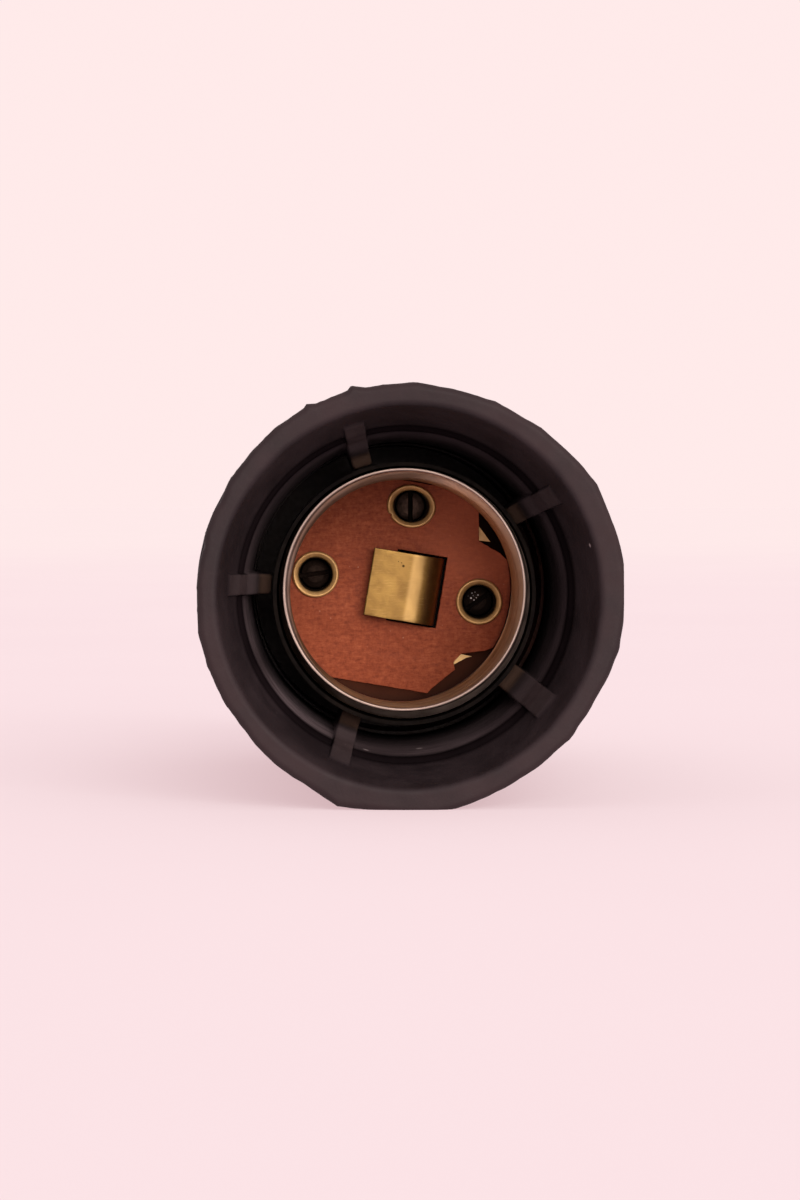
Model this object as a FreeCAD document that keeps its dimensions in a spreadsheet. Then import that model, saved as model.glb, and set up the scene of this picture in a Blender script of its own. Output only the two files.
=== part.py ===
import FreeCAD, Part
import math
import os

import Sketcher
import PartDesign
from FreeCAD import Placement, Rotation, Vector

# Rubber lamp holder for an Edison E27 lamp.
#
# Every piece is drawn about its own Z axis, which is the holder's axis: +Z points out
# of the mouth, X to the right and Y up as one looks into the mouth.  Z = 0 is the plane
# of the screw shell's rim.  The finished row lies on its side: +Z up, mouth facing -Y.

doc = FreeCAD.newDocument("LampHolder")
sheet = doc.addObject("Spreadsheet::Sheet", "Dimensions")

TABLE = [
    # moulded rubber boot
    ("lip_radius", 22.42),          # outside of the lip
    ("lip_front", 12.0),            # lip plane, ahead of the shell's rim
    ("lip_back", 8.4),              # back of the lip bead
    ("waist_radius", 21.7),         # shallow waist behind the bead
    ("waist_back", 3.6),
    ("barrel_radius", 22.40),
    ("barrel_back", -37.0),
    ("taper_radius", 20.6),
    ("taper_back", -53.0),
    ("shoulder_radius", 9.6),
    ("shoulder_back", -61.5),
    ("neck_radius", 8.2),
    ("neck_back", -77.0),
    ("lip_bore", 20.0),             # inner edge of the lip
    ("cone_bore", 18.0),            # small end of the cone inside the lip
    ("cone_back", 3.0),
    ("groove_bore", 18.45),
    ("groove_back", 2.2),
    ("throat_front_bore", 17.65),   # wall behind the groove
    ("throat_bore", 16.63),
    ("throat_back", -8.0),
    ("keeper_back", -17.4),         # keeper shoulder in front of the base
    ("seat_bore", 17.7),            # pocket that holds the base flange
    ("seat_back", -31.25),
    ("chamber_bore", 15.2),         # wiring chamber
    ("chamber_back", -52.8),
    ("cable_bore", 4.0),
    ("rest_flat", 22.15),           # axis to the flat that the boot lies on
    # ribs
    ("rib_width", 2.3),
    ("rib_tip_front", 7.6),
    ("rib_knee", 15.55),
    ("rib_grip", 14.47),
    ("rib_turn", 33.5),             # first rib, degrees from X
    # screw shell
    ("thread_major", 13.30),        # inside the crests that clear the lamp
    ("thread_minor", 12.40),
    ("thread_pitch", 3.629),
    ("thread_start", 97.0),         # where the rim is widest, degrees
    ("shell_sheet", 0.32),
    ("thread_end", -12.5),
    ("cup_front", -20.6),
    ("cup_inner", 13.25),
    ("cup_outer", 13.75),
    ("floor_front", -23.5),
    ("floor_back", -23.9),
    # core, turned about the axis as it sits in the boot
    ("core_turn", -9.6),
    ("disc_radius", 13.15),
    ("disc_front", -22.0),
    ("disc_back", -23.0),
    ("disc_flat_top", 12.43),
    ("disc_flat_low", -11.46),
    ("window_left", -0.7),
    ("window_right", 5.17),
    ("window_low", -3.9),
    ("window_top", 4.45),
    ("screw_circle", 9.6),
    ("eyelet_head", 2.7),
    ("eyelet_tube", 2.3),
    ("eyelet_bore", 1.95),
    ("eyelet_seat", -26.0),
    ("eyelet_floor", 0.4),
    ("eyelet_proud", 0.55),
    # sleeve
    ("sleeve_inner", 13.85),
    ("sleeve_outer", 14.25),
    ("sleeve_front", -0.5),
    # base block
    ("base_boss", 13.65),
    ("base_step", -28.0),
    ("base_flange", 17.5),
    ("base_rim_inner", 16.5),
    ("base_rim_front", -20.0),
    ("base_flange_back", -31.2),
    ("base_rear", 13.9),
    ("base_back", -38.5),
    ("tongue_half", 9.6),
    ("tongue_low", -7.0),
    ("tongue_top", -0.6),
    ("tongue_front", -43.0),
    ("tongue_back", -52.0),
    # centre contact strip
    ("strip_thick", 0.45),
    ("strip_low", -3.63),
    ("strip_top", 4.2),
    ("strip_left", -3.45),
    ("strip_front", -20.0),
    ("strip_bend", 2.0),
    ("strip_leg", 4.85),
    ("strip_back", -38.0),
    # terminals
    ("block_half", 3.2),
    ("block_front", -32.0),
    ("block_back", -41.0),
    ("block_thick", 4.2),
    ("wire_bore", 1.2),
    ("neutral_face", -9.05),
    ("plate_sheet", 0.5),
    # fasteners
    ("fix_head", 1.8),
    ("fix_head_tall", 1.4),
    ("fix_shank", 1.25),
    ("fix_length", 12.2),
    ("nut_side", 5.5),
    ("nut_tall", 2.2),
    ("clamp_head", 1.9),
    ("clamp_shank", 1.25),
    ("saddle_screw_at", 7.3),
]

SIZES = {}


class Size:
    """A length together with the spreadsheet formula that gives it."""

    def __init__(self, value, text):
        self.value = float(value)
        self.text = text

    def _join(self, other, sign, flip=False):
        a, b = (other, self) if flip else (self, other)
        va, vb = number(a), number(b)
        if sign == "+":
            v = va + vb
        elif sign == "-":
            v = va - vb
        elif sign == "*":
            v = va * vb
        else:
            v = va / vb
        return Size(v, "(%s %s %s)" % (formula(a), sign, formula(b)))

    def __add__(self, o):
        return self._join(o, "+")

    def __radd__(self, o):
        return self._join(o, "+", True)

    def __sub__(self, o):
        return self._join(o, "-")

    def __rsub__(self, o):
        return self._join(o, "-", True)

    def __mul__(self, o):
        return self._join(o, "*")

    def __rmul__(self, o):
        return self._join(o, "*", True)

    def __truediv__(self, o):
        return self._join(o, "/")

    def __neg__(self):
        return self._join(-1, "*")


def number(x):
    return x.value if isinstance(x, Size) else float(x)


def formula(x):
    return x.text if isinstance(x, Size) else ("%.6f" % x)


for row, (alias, value) in enumerate(TABLE, start=1):
    cell = "A%d" % row
    sheet.set(cell, "%g" % value)
    sheet.setAlias(cell, alias)
    SIZES[alias] = Size(value, "Dimensions." + alias)
doc.recompute()
for alias, value in TABLE:
    if abs(float(sheet.get(alias)) - value) > 1e-9:
        raise ValueError("sheet cell %s did not take its value" % alias)


class Names:
    def __getattr__(self, alias):
        return SIZES[alias]


D = Names()

# ------------------------------------------------------------------ frames
LIE = Placement(Vector(0, 0, 0), Rotation(Vector(1, 0, 0), 90))
CORE = LIE.multiply(Placement(Vector(0, 0, 0), Rotation(Vector(0, 0, 1), D.core_turn.value)))


def at(x, y, z, axis=None, angle=0.0, spin=0.0):
    """A place inside the core: position, then a tilt, then a spin about the piece."""
    p = CORE.multiply(Placement(Vector(number(x), number(y), number(z)), Rotation()))
    if axis is not None:
        p = p.multiply(Placement(Vector(0, 0, 0), Rotation(axis, angle)))
    if spin:
        p = p.multiply(Placement(Vector(0, 0, 0), Rotation(Vector(0, 0, 1), spin)))
    return p


# ------------------------------------------------------------------ sketch helpers
def new_body(label):
    body = doc.addObject("PartDesign::Body", label)
    body.Label = label
    return body


def new_sketch(body, name, plane, shift=None, turn=None):
    s = body.newObject("Sketcher::SketchObject", name)
    base = [f for f in body.Origin.OriginFeatures if f.Role == plane][0]
    s.AttachmentSupport = [(base, "")]
    s.MapMode = "FlatFace"
    if turn is not None:
        # a turn about the sketch's own upright axis
        s.AttachmentOffset = Placement(Vector(0, 0, 0), Rotation(Vector(0, 1, 0), number(turn)))
    if shift is not None:
        s.AttachmentOffset = Placement(Vector(0, 0, number(shift)), Rotation())
        if isinstance(shift, Size):
            s.setExpression("AttachmentOffset.Base.z", shift.text)
    return s


def pin_point(s, geo, pos, x, y):
    for kind, val, axis in (("DistanceX", x, -2), ("DistanceY", y, -1)):
        if number(val) == 0.0:
            s.addConstraint(Sketcher.Constraint("PointOnObject", geo, pos, axis))
        else:
            k = s.addConstraint(Sketcher.Constraint(kind, -1, 1, geo, pos, number(val)))
            if isinstance(val, Size):
                s.setExpression("Constraints[%d]" % k, val.text)


def outline(s, points):
    """A closed outline of straight edges through the given corners."""
    first = s.GeometryCount
    n = len(points)
    vecs = [Vector(number(x), number(y), 0) for x, y in points]
    for i in range(n):
        s.addGeometry(Part.LineSegment(vecs[i], vecs[(i + 1) % n]), False)
    for i in range(n):
        s.addConstraint(Sketcher.Constraint("Coincident", first + i, 2, first + (i + 1) % n, 1))
    for i in range(n):
        pin_point(s, first + i, 1, points[i][0], points[i][1])


def rect(s, x0, x1, y0, y1):
    outline(s, [(x0, y0), (x1, y0), (x1, y1), (x0, y1)])


def circle(s, x, y, r):
    g = s.addGeometry(Part.Circle(Vector(number(x), number(y), 0), Vector(0, 0, 1), number(r)), False)
    pin_point(s, g, 3, x, y)
    k = s.addConstraint(Sketcher.Constraint("Radius", g, number(r)))
    if isinstance(r, Size):
        s.setExpression("Constraints[%d]" % k, r.text)


def solid_of(body):
    doc.recompute()
    return body.Shape.Volume


def spin_solid(body, name, points, groove=False):
    """Turn a half section, given as (radius, z) corners, about the axis."""
    before = solid_of(body) if groove else 0.0
    s = new_sketch(body, name + "Section", "XZ_Plane")
    outline(s, points)
    f = body.newObject("PartDesign::Groove" if groove else "PartDesign::Revolution", name)
    f.Profile = s
    f.ReferenceAxis = (s, ["V_Axis"])
    f.Angle = 360.0
    body.Tip = f
    after = solid_of(body)
    if groove and not after < before - 1e-6:
        raise ValueError(name + " cut nothing")
    return f


def set_length(f, length):
    f.Length = number(length)
    if isinstance(length, Size):
        f.setExpression("Length", length.text)


def pad(body, name, z_low, z_high, draw, plane="XY_Plane"):
    s = new_sketch(body, name + "Outline", plane, shift=z_low)
    draw(s)
    f = body.newObject("PartDesign::Pad", name)
    f.Profile = s
    set_length(f, z_high - z_low)
    body.Tip = f
    if not solid_of(body) > 0:
        raise ValueError(name + " is empty")
    return f


def cut(body, name, z_high, z_low, draw, plane="XY_Plane"):
    """A pocket from z_high down to z_low, along the plane's normal."""
    before = solid_of(body)
    s = new_sketch(body, name + "Outline", plane, shift=z_high)
    draw(s)
    f = body.newObject("PartDesign::Pocket", name)
    f.Profile = s
    set_length(f, z_high - z_low)
    body.Tip = f
    after = solid_of(body)
    if not after < before - 1e-6:
        raise ValueError(name + " cut nothing")
    return f


def ring_edges(shape, wanted, tol=0.02):
    """Names of the round edges about the axis at the wanted (radius, z)."""
    names = []
    for i, e in enumerate(shape.Edges, start=1):
        if not isinstance(e.Curve, Part.Circle):
            continue
        c = e.Curve
        if abs(c.Center.x) > tol or abs(c.Center.y) > tol:
            continue
        for r, z in wanted:
            if abs(c.Radius - number(r)) < tol and abs(c.Center.z - number(z)) < tol:
                names.append("Edge%d" % i)
    return names


def fillet(body, name, radius, wanted):
    before = solid_of(body)
    base = body.Tip
    names = ring_edges(base.Shape, wanted)
    if len(names) < len(wanted):
        raise ValueError(name + ": found %d of %d edges" % (len(names), len(wanted)))
    f = body.newObject("PartDesign::Fillet", name)
    f.Base = (base, names)
    f.Radius = radius
    body.Tip = f
    if abs(solid_of(body) - before) < 1e-6:
        raise ValueError(name + " did nothing")
    return f


# ------------------------------------------------------------------ rubber boot
# One moulding: a soft bead round the mouth, a cone, a groove and a throat inside it,
# a pocket that traps the base flange, a wiring chamber and a neck for the cable.
boot = new_body("rubber_boot")
boot_corners = [
    (D.lip_bore, D.lip_front),
    (D.lip_radius, D.lip_front),
    (D.lip_radius, D.lip_back),
    (D.waist_radius, D.lip_back - 1.0),
    (D.waist_radius, D.waist_back + 1.0),
    (D.barrel_radius, D.waist_back),
    (D.barrel_radius, D.barrel_back),
    (D.taper_radius, D.taper_back),
    (D.shoulder_radius, D.shoulder_back),
    (D.neck_radius, D.neck_back),
    (D.cable_bore, D.neck_back),
    (D.cable_bore, D.chamber_back - 4.2),
    (D.chamber_bore - 3.0, D.chamber_back - 3.0),
    (D.chamber_bore, D.chamber_back),
    (D.chamber_bore, D.seat_back),
    (D.seat_bore, D.seat_back),
    (D.seat_bore, D.keeper_back - 1.2),
    (D.throat_bore, D.keeper_back),
    (D.throat_bore, D.throat_back),
    (D.throat_front_bore, D.groove_back),
    (D.groove_bore, D.groove_back),
    (D.groove_bore, D.cone_back - 0.05),
    (D.cone_bore, D.cone_back),
]
spin_solid(boot, "BootTurned", boot_corners)
fillet(boot, "LipRound", 1.15, [(D.lip_radius, D.lip_front), (D.lip_bore, D.lip_front)])
fillet(boot, "ShoulderRound", 4.0, [(D.taper_radius, D.taper_back)])
fillet(boot, "NeckRoot", 3.0, [(D.shoulder_radius, D.shoulder_back)])
fillet(boot, "NeckEnd", 1.0, [(D.neck_radius, D.neck_back)])

# five ribs that centre the core: each crest starts flush with the cone, runs in towards
# the axis, steps down at the knee and grips along a short land
rib_sketch = new_sketch(boot, "RibSection", "XZ_Plane", turn=D.rib_turn)
rib_sketch.setExpression("AttachmentOffset.Rotation.Angle", D.rib_turn.text)
outline(rib_sketch, [
    (19.30, D.rib_tip_front + 0.15),
    (18.70, D.rib_tip_front - 0.35),
    (D.rib_knee, -5.0),
    (D.rib_grip, -6.4),
    (D.rib_grip, -15.4),
    (D.throat_bore + 0.3, D.keeper_back + 0.3),
    (18.4, -16.4),
    (19.4, 0.5),
    (20.3, D.rib_tip_front - 0.3),
])
rib = boot.newObject("PartDesign::Pad", "Rib")
rib.Profile = rib_sketch
rib.Midplane = True
set_length(rib, D.rib_width)
boot.Tip = rib
before = solid_of(boot)
ribs = boot.newObject("PartDesign::PolarPattern", "Ribs")
ribs.Originals = [rib]
ribs.Axis = ([f for f in boot.Origin.OriginFeatures if f.Role == "Z_Axis"][0], [""])
ribs.Angle = 360.0
ribs.Occurrences = 5
boot.Tip = ribs
if not solid_of(boot) > before + 4 * 20:
    raise ValueError("the ribs did not repeat")

# the flat that the boot lies on, along the lip bead and the barrel
before = solid_of(boot)
flat_sketch = new_sketch(boot, "RestFlatOutline", "XY_Plane", shift=D.lip_front + 1.0)
rect(flat_sketch, -9.0, 9.0, -(D.rest_flat + 2.0), -D.rest_flat)
flat = boot.newObject("PartDesign::Pocket", "RestFlat")
flat.Profile = flat_sketch
set_length(flat, 70.0)
boot.Tip = flat
if not solid_of(boot) < before - 1e-3:
    raise ValueError("the rest flat cut nothing")
boot.Placement = LIE

# ------------------------------------------------------------------ screw shell
# Sheet rolled to the lamp thread.  Its rim is a plain cut across the helix, so it is
# wide on one side and narrow on the other.
R_MEAN = (D.thread_major.value + D.thread_minor.value) / 2
AMP = (D.thread_major.value - D.thread_minor.value) / 2
TUBE_END = D.cup_front.value - 0.6
TUBE_IN = D.cup_inner.value + 0.07
START = math.radians(D.thread_start.value - D.core_turn.value)


def wall_radius(theta, z):
    wave = R_MEAN + AMP * math.cos(2 * math.pi * z / D.thread_pitch.value - theta + START)
    z0, z1 = D.thread_end.value, D.thread_end.value - 3.4
    w = min(1.0, max(0.0, (z0 - z) / (z0 - z1)))
    w = w * w * (3 - 2 * w)
    return (1 - w) * wave + w * TUBE_IN


def wall_surface(extra, rows=72, around=48):
    """The rolled wall as one smooth surface, closed round the axis."""
    rings = []
    for j in range(rows + 1):
        z = TUBE_END * j / rows
        points = []
        for i in range(around):
            theta = 2 * math.pi * i / around
            r = wall_radius(theta, z) + extra
            points.append(Vector(r * math.cos(theta), r * math.sin(theta), z))
        ring = Part.BSplineCurve()
        ring.interpolate(Points=points, PeriodicFlag=True,
                         Parameters=[float(k) for k in range(around + 1)])
        rings.append(ring)
    grid = []
    for column in zip(*[ring.getPoles() for ring in rings]):
        line = Part.BSplineCurve()
        line.interpolate(Points=list(column), Parameters=[float(k) for k in range(rows + 1)])
        grid.append(line.getPoles())
    surf = Part.BSplineSurface()
    surf.buildFromPolesMultsKnots(grid, rings[0].getMultiplicities(), line.getMultiplicities(),
                                  rings[0].getKnots(), line.getKnots(), True, False, 3, 3)
    return surf.toShape()


def end_wire(face, z):
    return Part.Wire([e for e in face.Edges
                      if abs(e.BoundBox.ZMin - z) < 1e-4 and abs(e.BoundBox.ZMax - z) < 1e-4])


inside = wall_surface(0.0)
outside = wall_surface(D.shell_sheet.value)
wall_faces = [inside, outside]
for z in (0.0, TUBE_END):
    wall_faces += Part.makeFace([end_wire(outside, z), end_wire(inside, z)],
                                "Part::FaceMakerBullseye").Faces
skin = Part.makeShell(wall_faces)
skin.sewShape()
tube = Part.makeSolid(skin)
if tube.Volume < 0:
    tube = tube.reversed()
print("thread wall: volume %.2f, valid %s, closed %s" % (tube.Volume, tube.isValid(), tube.isClosed()))
thread_wall = doc.addObject("Part::Feature", "ThreadWall")
thread_wall.Shape = tube


def cylinder(name, radius, z_low, z_high, x=0.0, y=0.0):
    c = doc.addObject("Part::Cylinder", name)
    c.Radius = number(radius)
    if isinstance(radius, Size):
        c.setExpression("Radius", radius.text)
    tall = z_high - z_low
    c.Height = number(tall)
    if isinstance(tall, Size):
        c.setExpression("Height", tall.text)
    c.Placement = Placement(Vector(number(x), number(y), number(z_low)), Rotation())
    for prop, val in (("x", x), ("y", y), ("z", z_low)):
        if isinstance(val, Size):
            c.setExpression("Placement.Base." + prop, val.text)
    return c


def box(name, x0, x1, y0, y1, z0, z1):
    b = doc.addObject("Part::Box", name)
    for prop, lo, hi in (("Length", x0, x1), ("Width", y0, y1), ("Height", z0, z1)):
        span = hi - lo
        setattr(b, prop, number(span))
        if isinstance(span, Size):
            b.setExpression(prop, span.text)
    b.Placement = Placement(Vector(number(x0), number(y0), number(z0)), Rotation())
    for prop, val in (("x", x0), ("y", y0), ("z", z0)):
        if isinstance(val, Size):
            b.setExpression("Placement.Base." + prop, val.text)
    return b


def minus(name, base, tools):
    if len(tools) == 1:
        tool = tools[0]
    else:
        tool = doc.addObject("Part::MultiFuse", name + "Tools")
        tool.Shapes = tools
    c = doc.addObject("Part::Cut", name)
    c.Base = base
    c.Tool = tool
    c.Label = name
    return c


SCREW_AT = [("right", 0.0), ("top", 90.0), ("left", 180.0)]


def screw_xy(angle):
    a = math.radians(angle)
    return (D.screw_circle * round(math.cos(a), 9) if abs(math.cos(a)) > 1e-9 else 0.0,
            D.screw_circle * round(math.sin(a), 9) if abs(math.sin(a)) > 1e-9 else 0.0)


cup_hollow = minus("ShellCup", cylinder("CupOutside", D.cup_outer, D.floor_back, D.cup_front),
                   [cylinder("CupInside", D.cup_inner, D.floor_front, D.cup_front + 1.0)])
shell_body = doc.addObject("Part::MultiFuse", "ShellBody")
shell_body.Shapes = [thread_wall, cup_hollow]
floor_cuts = [box("FloorWindow", D.window_left - 0.3, D.window_right + 0.3, D.window_low - 0.3,
                  D.window_top + 0.3, D.floor_back - 1.0, D.floor_front + 0.4)]
for where, angle in SCREW_AT:
    x, y = screw_xy(angle)
    floor_cuts.append(cylinder("FloorHole_" + where, D.eyelet_tube + 0.1, D.floor_back - 1.0,
                               D.floor_front + 0.4, x, y))
floor_cuts.append(box("FloorTailSlot", -2.8, 2.8, D.neutral_face - 0.2, D.neutral_face + 0.8,
                      D.floor_back - 1.0, D.floor_front + 0.4))
for tag, turn in (("Upper", 38.0), ("Lower", -38.0)):
    relief = doc.addObject("Part::Box", "FloorRelief" + tag)
    relief.Length, relief.Width, relief.Height = 2.5, 5.4, 1.8
    c, s = math.cos(math.radians(turn)), math.sin(math.radians(turn))
    relief.Placement = Placement(Vector(10.45 * c + 2.7 * s, 10.45 * s - 2.7 * c, D.floor_back.value - 1.0),
                                 Rotation(Vector(0, 0, 1), turn))
    floor_cuts.append(relief)
screw_shell = minus("screw_shell", shell_body, floor_cuts)
doc.recompute()
screw_shell.Placement = CORE

# ------------------------------------------------------------------ insulating sleeve
sleeve = new_body("insulating_sleeve")
spin_solid(sleeve, "SleeveTurned", [
    (D.sleeve_inner, D.sleeve_front), (D.sleeve_outer, D.sleeve_front),
    (D.sleeve_outer, D.base_step), (D.sleeve_inner, D.base_step)])
sleeve.Placement = CORE

# ------------------------------------------------------------------ fibre disc
disc = new_body("fibre_disc")
pad(disc, "DiscBlank", D.disc_back, D.disc_front, lambda s: circle(s, 0.0, 0.0, D.disc_radius))


def disc_edges(s):
    far = 15.0
    rect(s, -far, far, D.disc_flat_top, far)


def disc_low(s):
    outline(s, [(-7.0, D.disc_flat_low), (5.5, D.disc_flat_low), (5.7, -11.0), (8.16, -8.25),
                (7.9, -7.47), (8.54, -6.31), (11.2, -5.5), (14.5, -4.9), (14.5, -14.5), (-7.0, -14.5)])


def disc_high(s):
    outline(s, [(7.85, 10.25), (8.41, 6.94), (11.04, 5.98), (14.5, 4.6), (14.5, 12.0), (8.2, 12.0)])


cut(disc, "TopFlat", D.disc_front + 0.5, D.disc_back - 0.5, disc_edges)
cut(disc, "LowFlatAndNotch", D.disc_front + 0.5, D.disc_back - 0.5, disc_low)
cut(disc, "HighNotch", D.disc_front + 0.5, D.disc_back - 0.5, disc_high)
cut(disc, "Window", D.disc_front + 0.5, D.disc_back - 0.5,
    lambda s: rect(s, D.window_left, D.window_right, D.window_low, D.window_top))


def disc_holes(s):
    for where, angle in SCREW_AT:
        x, y = screw_xy(angle)
        circle(s, x, y, D.eyelet_tube + 0.05)


cut(disc, "EyeletHoles", D.disc_front + 0.5, D.disc_back - 0.5, disc_holes)
disc.Placement = CORE

# ------------------------------------------------------------------ brass plate under the disc
# It joins the shell to the neutral terminal: a plate with two corner tabs and a tail bent back.
plate = new_body("shell_plate")
pad(plate, "PlateBlank", D.disc_back - D.plate_sheet, D.disc_back, lambda s: outline(s, [
    (-12.4, -3.2), (-12.4, 3.2), (-7.8, 8.2), (-4.4, 12.0), (4.4, 12.0), (7.0, 9.75),
    (9.8, 7.07), (8.3, 6.97), (8.6, 5.2), (12.4, 3.4), (12.4, -3.4), (8.7, -4.9), (8.4, -6.38), (9.9, -6.45),
    (9.29, -6.7), (8.08, -7.64), (7.0, -8.2), (3.0, -9.0), (-3.0, -9.0), (-7.8, -8.2)]))
cut(plate, "PlateWindow", D.disc_back + 0.5, D.disc_back - 2.0,
    lambda s: rect(s, D.window_left - 0.2, D.window_right + 0.2, D.window_low - 0.2, D.window_top + 0.2))
cut(plate, "PlateHoles", D.disc_back + 0.5, D.disc_back - 2.0, disc_holes)
pad(plate, "Tail", D.block_back + 1.0, D.disc_back,
    lambda s: rect(s, -2.5, 2.5, D.neutral_face + 0.05, D.neutral_face + 0.05 + D.plate_sheet))
plate.Placement = CORE

# ------------------------------------------------------------------ eyelets
def eyelet(where, angle):
    b = new_body("eyelet_" + where)
    top = D.disc_front + D.eyelet_proud
    spin_solid(b, "EyeletTurned", [
        (D.eyelet_head, D.disc_front), (D.eyelet_head, D.disc_front + 0.22),
        (D.eyelet_head - 0.14, top - 0.1), (D.eyelet_head - 0.34, top),
        (D.eyelet_head - 0.54, top - 0.08), (D.eyelet_bore + 0.08, D.disc_front - 0.5),
        (D.eyelet_bore, D.disc_front - 0.9), (D.eyelet_bore, D.eyelet_seat),
        (1.35, D.eyelet_seat), (1.35, D.eyelet_seat - D.eyelet_floor),
        (D.eyelet_tube, D.eyelet_seat - D.eyelet_floor), (D.eyelet_tube, D.disc_front)])
    x, y = screw_xy(angle)
    b.Placement = at(x, y, 0.0)
    return b


eyelets = [eyelet(where, angle) for where, angle in SCREW_AT]

# ------------------------------------------------------------------ centre contact
# One strip: a flat tongue under the lamp's tip, a bend, and a leg that runs back.
contact = new_body("centre_contact")
cs = new_sketch(contact, "StripSection", "XZ_Plane", shift=-D.strip_top)
bend_x = D.strip_leg - D.strip_bend
bend_z = D.strip_front - D.strip_bend
corners = []
steps = 8
outer_arc = []
inner_arc = []
for i in range(steps + 1):
    a = math.radians(90.0 - 90.0 * i / steps)
    co, si = round(math.cos(a), 6), round(math.sin(a), 6)
    outer_arc.append((bend_x + D.strip_bend * co, bend_z + D.strip_bend * si))
    inner_arc.append((bend_x + (D.strip_bend - D.strip_thick) * co, bend_z + (D.strip_bend - D.strip_thick) * si))
corners = [(D.strip_left, D.strip_front)] + outer_arc + [(D.strip_leg, D.strip_back)]
corners += [(D.strip_leg - D.strip_thick, D.strip_back)] + inner_arc[::-1]
corners += [(D.strip_left, D.strip_front - D.strip_thick)]
outline(cs, corners)
strip = contact.newObject("PartDesign::Pad", "Strip")
strip.Profile = cs
set_length(strip, D.strip_top - D.strip_low)
contact.Tip = strip
doc.recompute()
bb = contact.Shape.BoundBox
if abs(bb.YMin - D.strip_low.value) > 0.01 or abs(bb.YMax - D.strip_top.value) > 0.01:
    strip.Reversed = True
    doc.recompute()
    bb = contact.Shape.BoundBox
print("strip Y %.2f to %.2f" % (bb.YMin, bb.YMax))
contact.Placement = CORE

# ------------------------------------------------------------------ base block
base = new_body("base_block")
spin_solid(base, "BaseTurned", [
    (0.0, D.floor_back), (D.base_boss, D.floor_back), (D.base_boss, D.base_step),
    (D.base_rim_inner, D.base_step), (D.base_rim_inner, D.base_rim_front),
    (D.base_flange, D.base_rim_front), (D.base_flange, D.base_flange_back),
    (D.base_rear, D.base_flange_back), (D.base_rear, D.base_back), (0.0, D.base_back)])
pad(base, "Tongue", D.tongue_back, D.base_back + 0.5,
    lambda s: rect(s, -D.tongue_half, D.tongue_half, D.tongue_low, D.tongue_top))
cut(base, "WiringSpace", D.base_back, D.tongue_front,
    lambda s: rect(s, -(D.tongue_half + 0.5), D.tongue_half + 0.5, D.tongue_low + 2.0, 2.0))
cut(base, "CableChannel", D.base_back, D.tongue_back - 1.0, lambda s: circle(s, 0.0, 0.0, D.cable_bore + 0.05))
cut(base, "ContactPocket", D.floor_back + 1.0, D.floor_back - 3.1,
    lambda s: rect(s, D.window_left - 0.2, D.window_right + 0.2, D.window_low - 0.2, D.window_top + 0.2))
cut(base, "LegSlot", D.floor_back + 1.0, D.base_back - 1.0,
    lambda s: rect(s, D.strip_leg - D.strip_thick - 0.1, D.strip_leg + 0.15, D.strip_low - 0.2, D.strip_top + 0.2))
cut(base, "TailSlot", D.floor_back + 1.0, D.base_back - 1.0,
    lambda s: rect(s, -2.7, 2.7, D.neutral_face, D.neutral_face + D.plate_sheet + 0.15))


def corner_reliefs(s):
    for turn in (38.0, -38.0):
        c, si = math.cos(math.radians(turn)), math.sin(math.radians(turn))
        pts = []
        for u, v in ((10.45, -2.7), (12.9, -2.7), (12.9, 2.7), (10.45, 2.7)):
            pts.append((u * c - v * si, u * si + v * c))
        outline(s, pts)


def seats(s):
    for where, angle in SCREW_AT:
        x, y = screw_xy(angle)
        circle(s, x, y, D.eyelet_tube + 0.08)


def shanks(s):
    for where, angle in SCREW_AT:
        x, y = screw_xy(angle)
        circle(s, x, y, D.fix_shank + 0.15)


def nut_seats(s):
    for where, angle in SCREW_AT:
        x, y = screw_xy(angle)
        h = D.nut_side / 2 + 0.1
        rect(s, x - h, x + h, y - h, y + h)


cut(base, "CornerReliefs", D.floor_back + 1.0, D.floor_back - 3.0, corner_reliefs)
cut(base, "EyeletSeats", D.floor_back + 1.0, D.eyelet_seat - D.eyelet_floor, seats)
cut(base, "ScrewHoles", D.floor_back + 1.0, D.base_back - 1.0, shanks)
cut(base, "NutSeats", D.base_back + D.nut_tall + 0.9, D.base_back - 0.1, nut_seats)
cut(base, "LinePocket", D.block_front + 0.1, D.base_back - 0.1,
    lambda s: rect(s, D.strip_leg - D.strip_thick - D.block_thick - 0.15, D.strip_leg + 0.9,
                   -(D.block_half + 0.2), D.block_half + 0.2))
cut(base, "LineScrewRelief", D.base_back + 2.6, D.base_back - 0.1,
    lambda s: rect(s, -0.1, 4.9, 2.0, 5.4))
cut(base, "NeutralScrewRelief", D.base_back + 2.6, D.base_back - 0.1,
    lambda s: rect(s, -5.3, -2.9, -14.5, -8.8))
cut(base, "NeutralPocket", D.block_front + 0.1, D.base_back - 0.1,
    lambda s: rect(s, -(D.block_half + 0.2), D.block_half + 0.2, -15.0, -7.6))


def saddle_holes(s):
    # this plane looks along -Y, so its upright axis is the holder's axis
    for side in (-1, 1):
        circle(s, D.saddle_screw_at * side, -48.0, 1.3)


before = solid_of(base)
holes_sketch = new_sketch(base, "SaddleHolesOutline", "XZ_Plane", shift=8.0)
saddle_holes(holes_sketch)
saddle_pocket = base.newObject("PartDesign::Pocket", "SaddleHoles")
saddle_pocket.Profile = holes_sketch
set_length(saddle_pocket, 9.0)
base.Tip = saddle_pocket
if not solid_of(base) < before - 1.0:
    saddle_pocket.Reversed = True
    if not solid_of(base) < before - 1.0:
        raise ValueError("saddle holes cut nothing")
base.Placement = CORE

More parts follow.
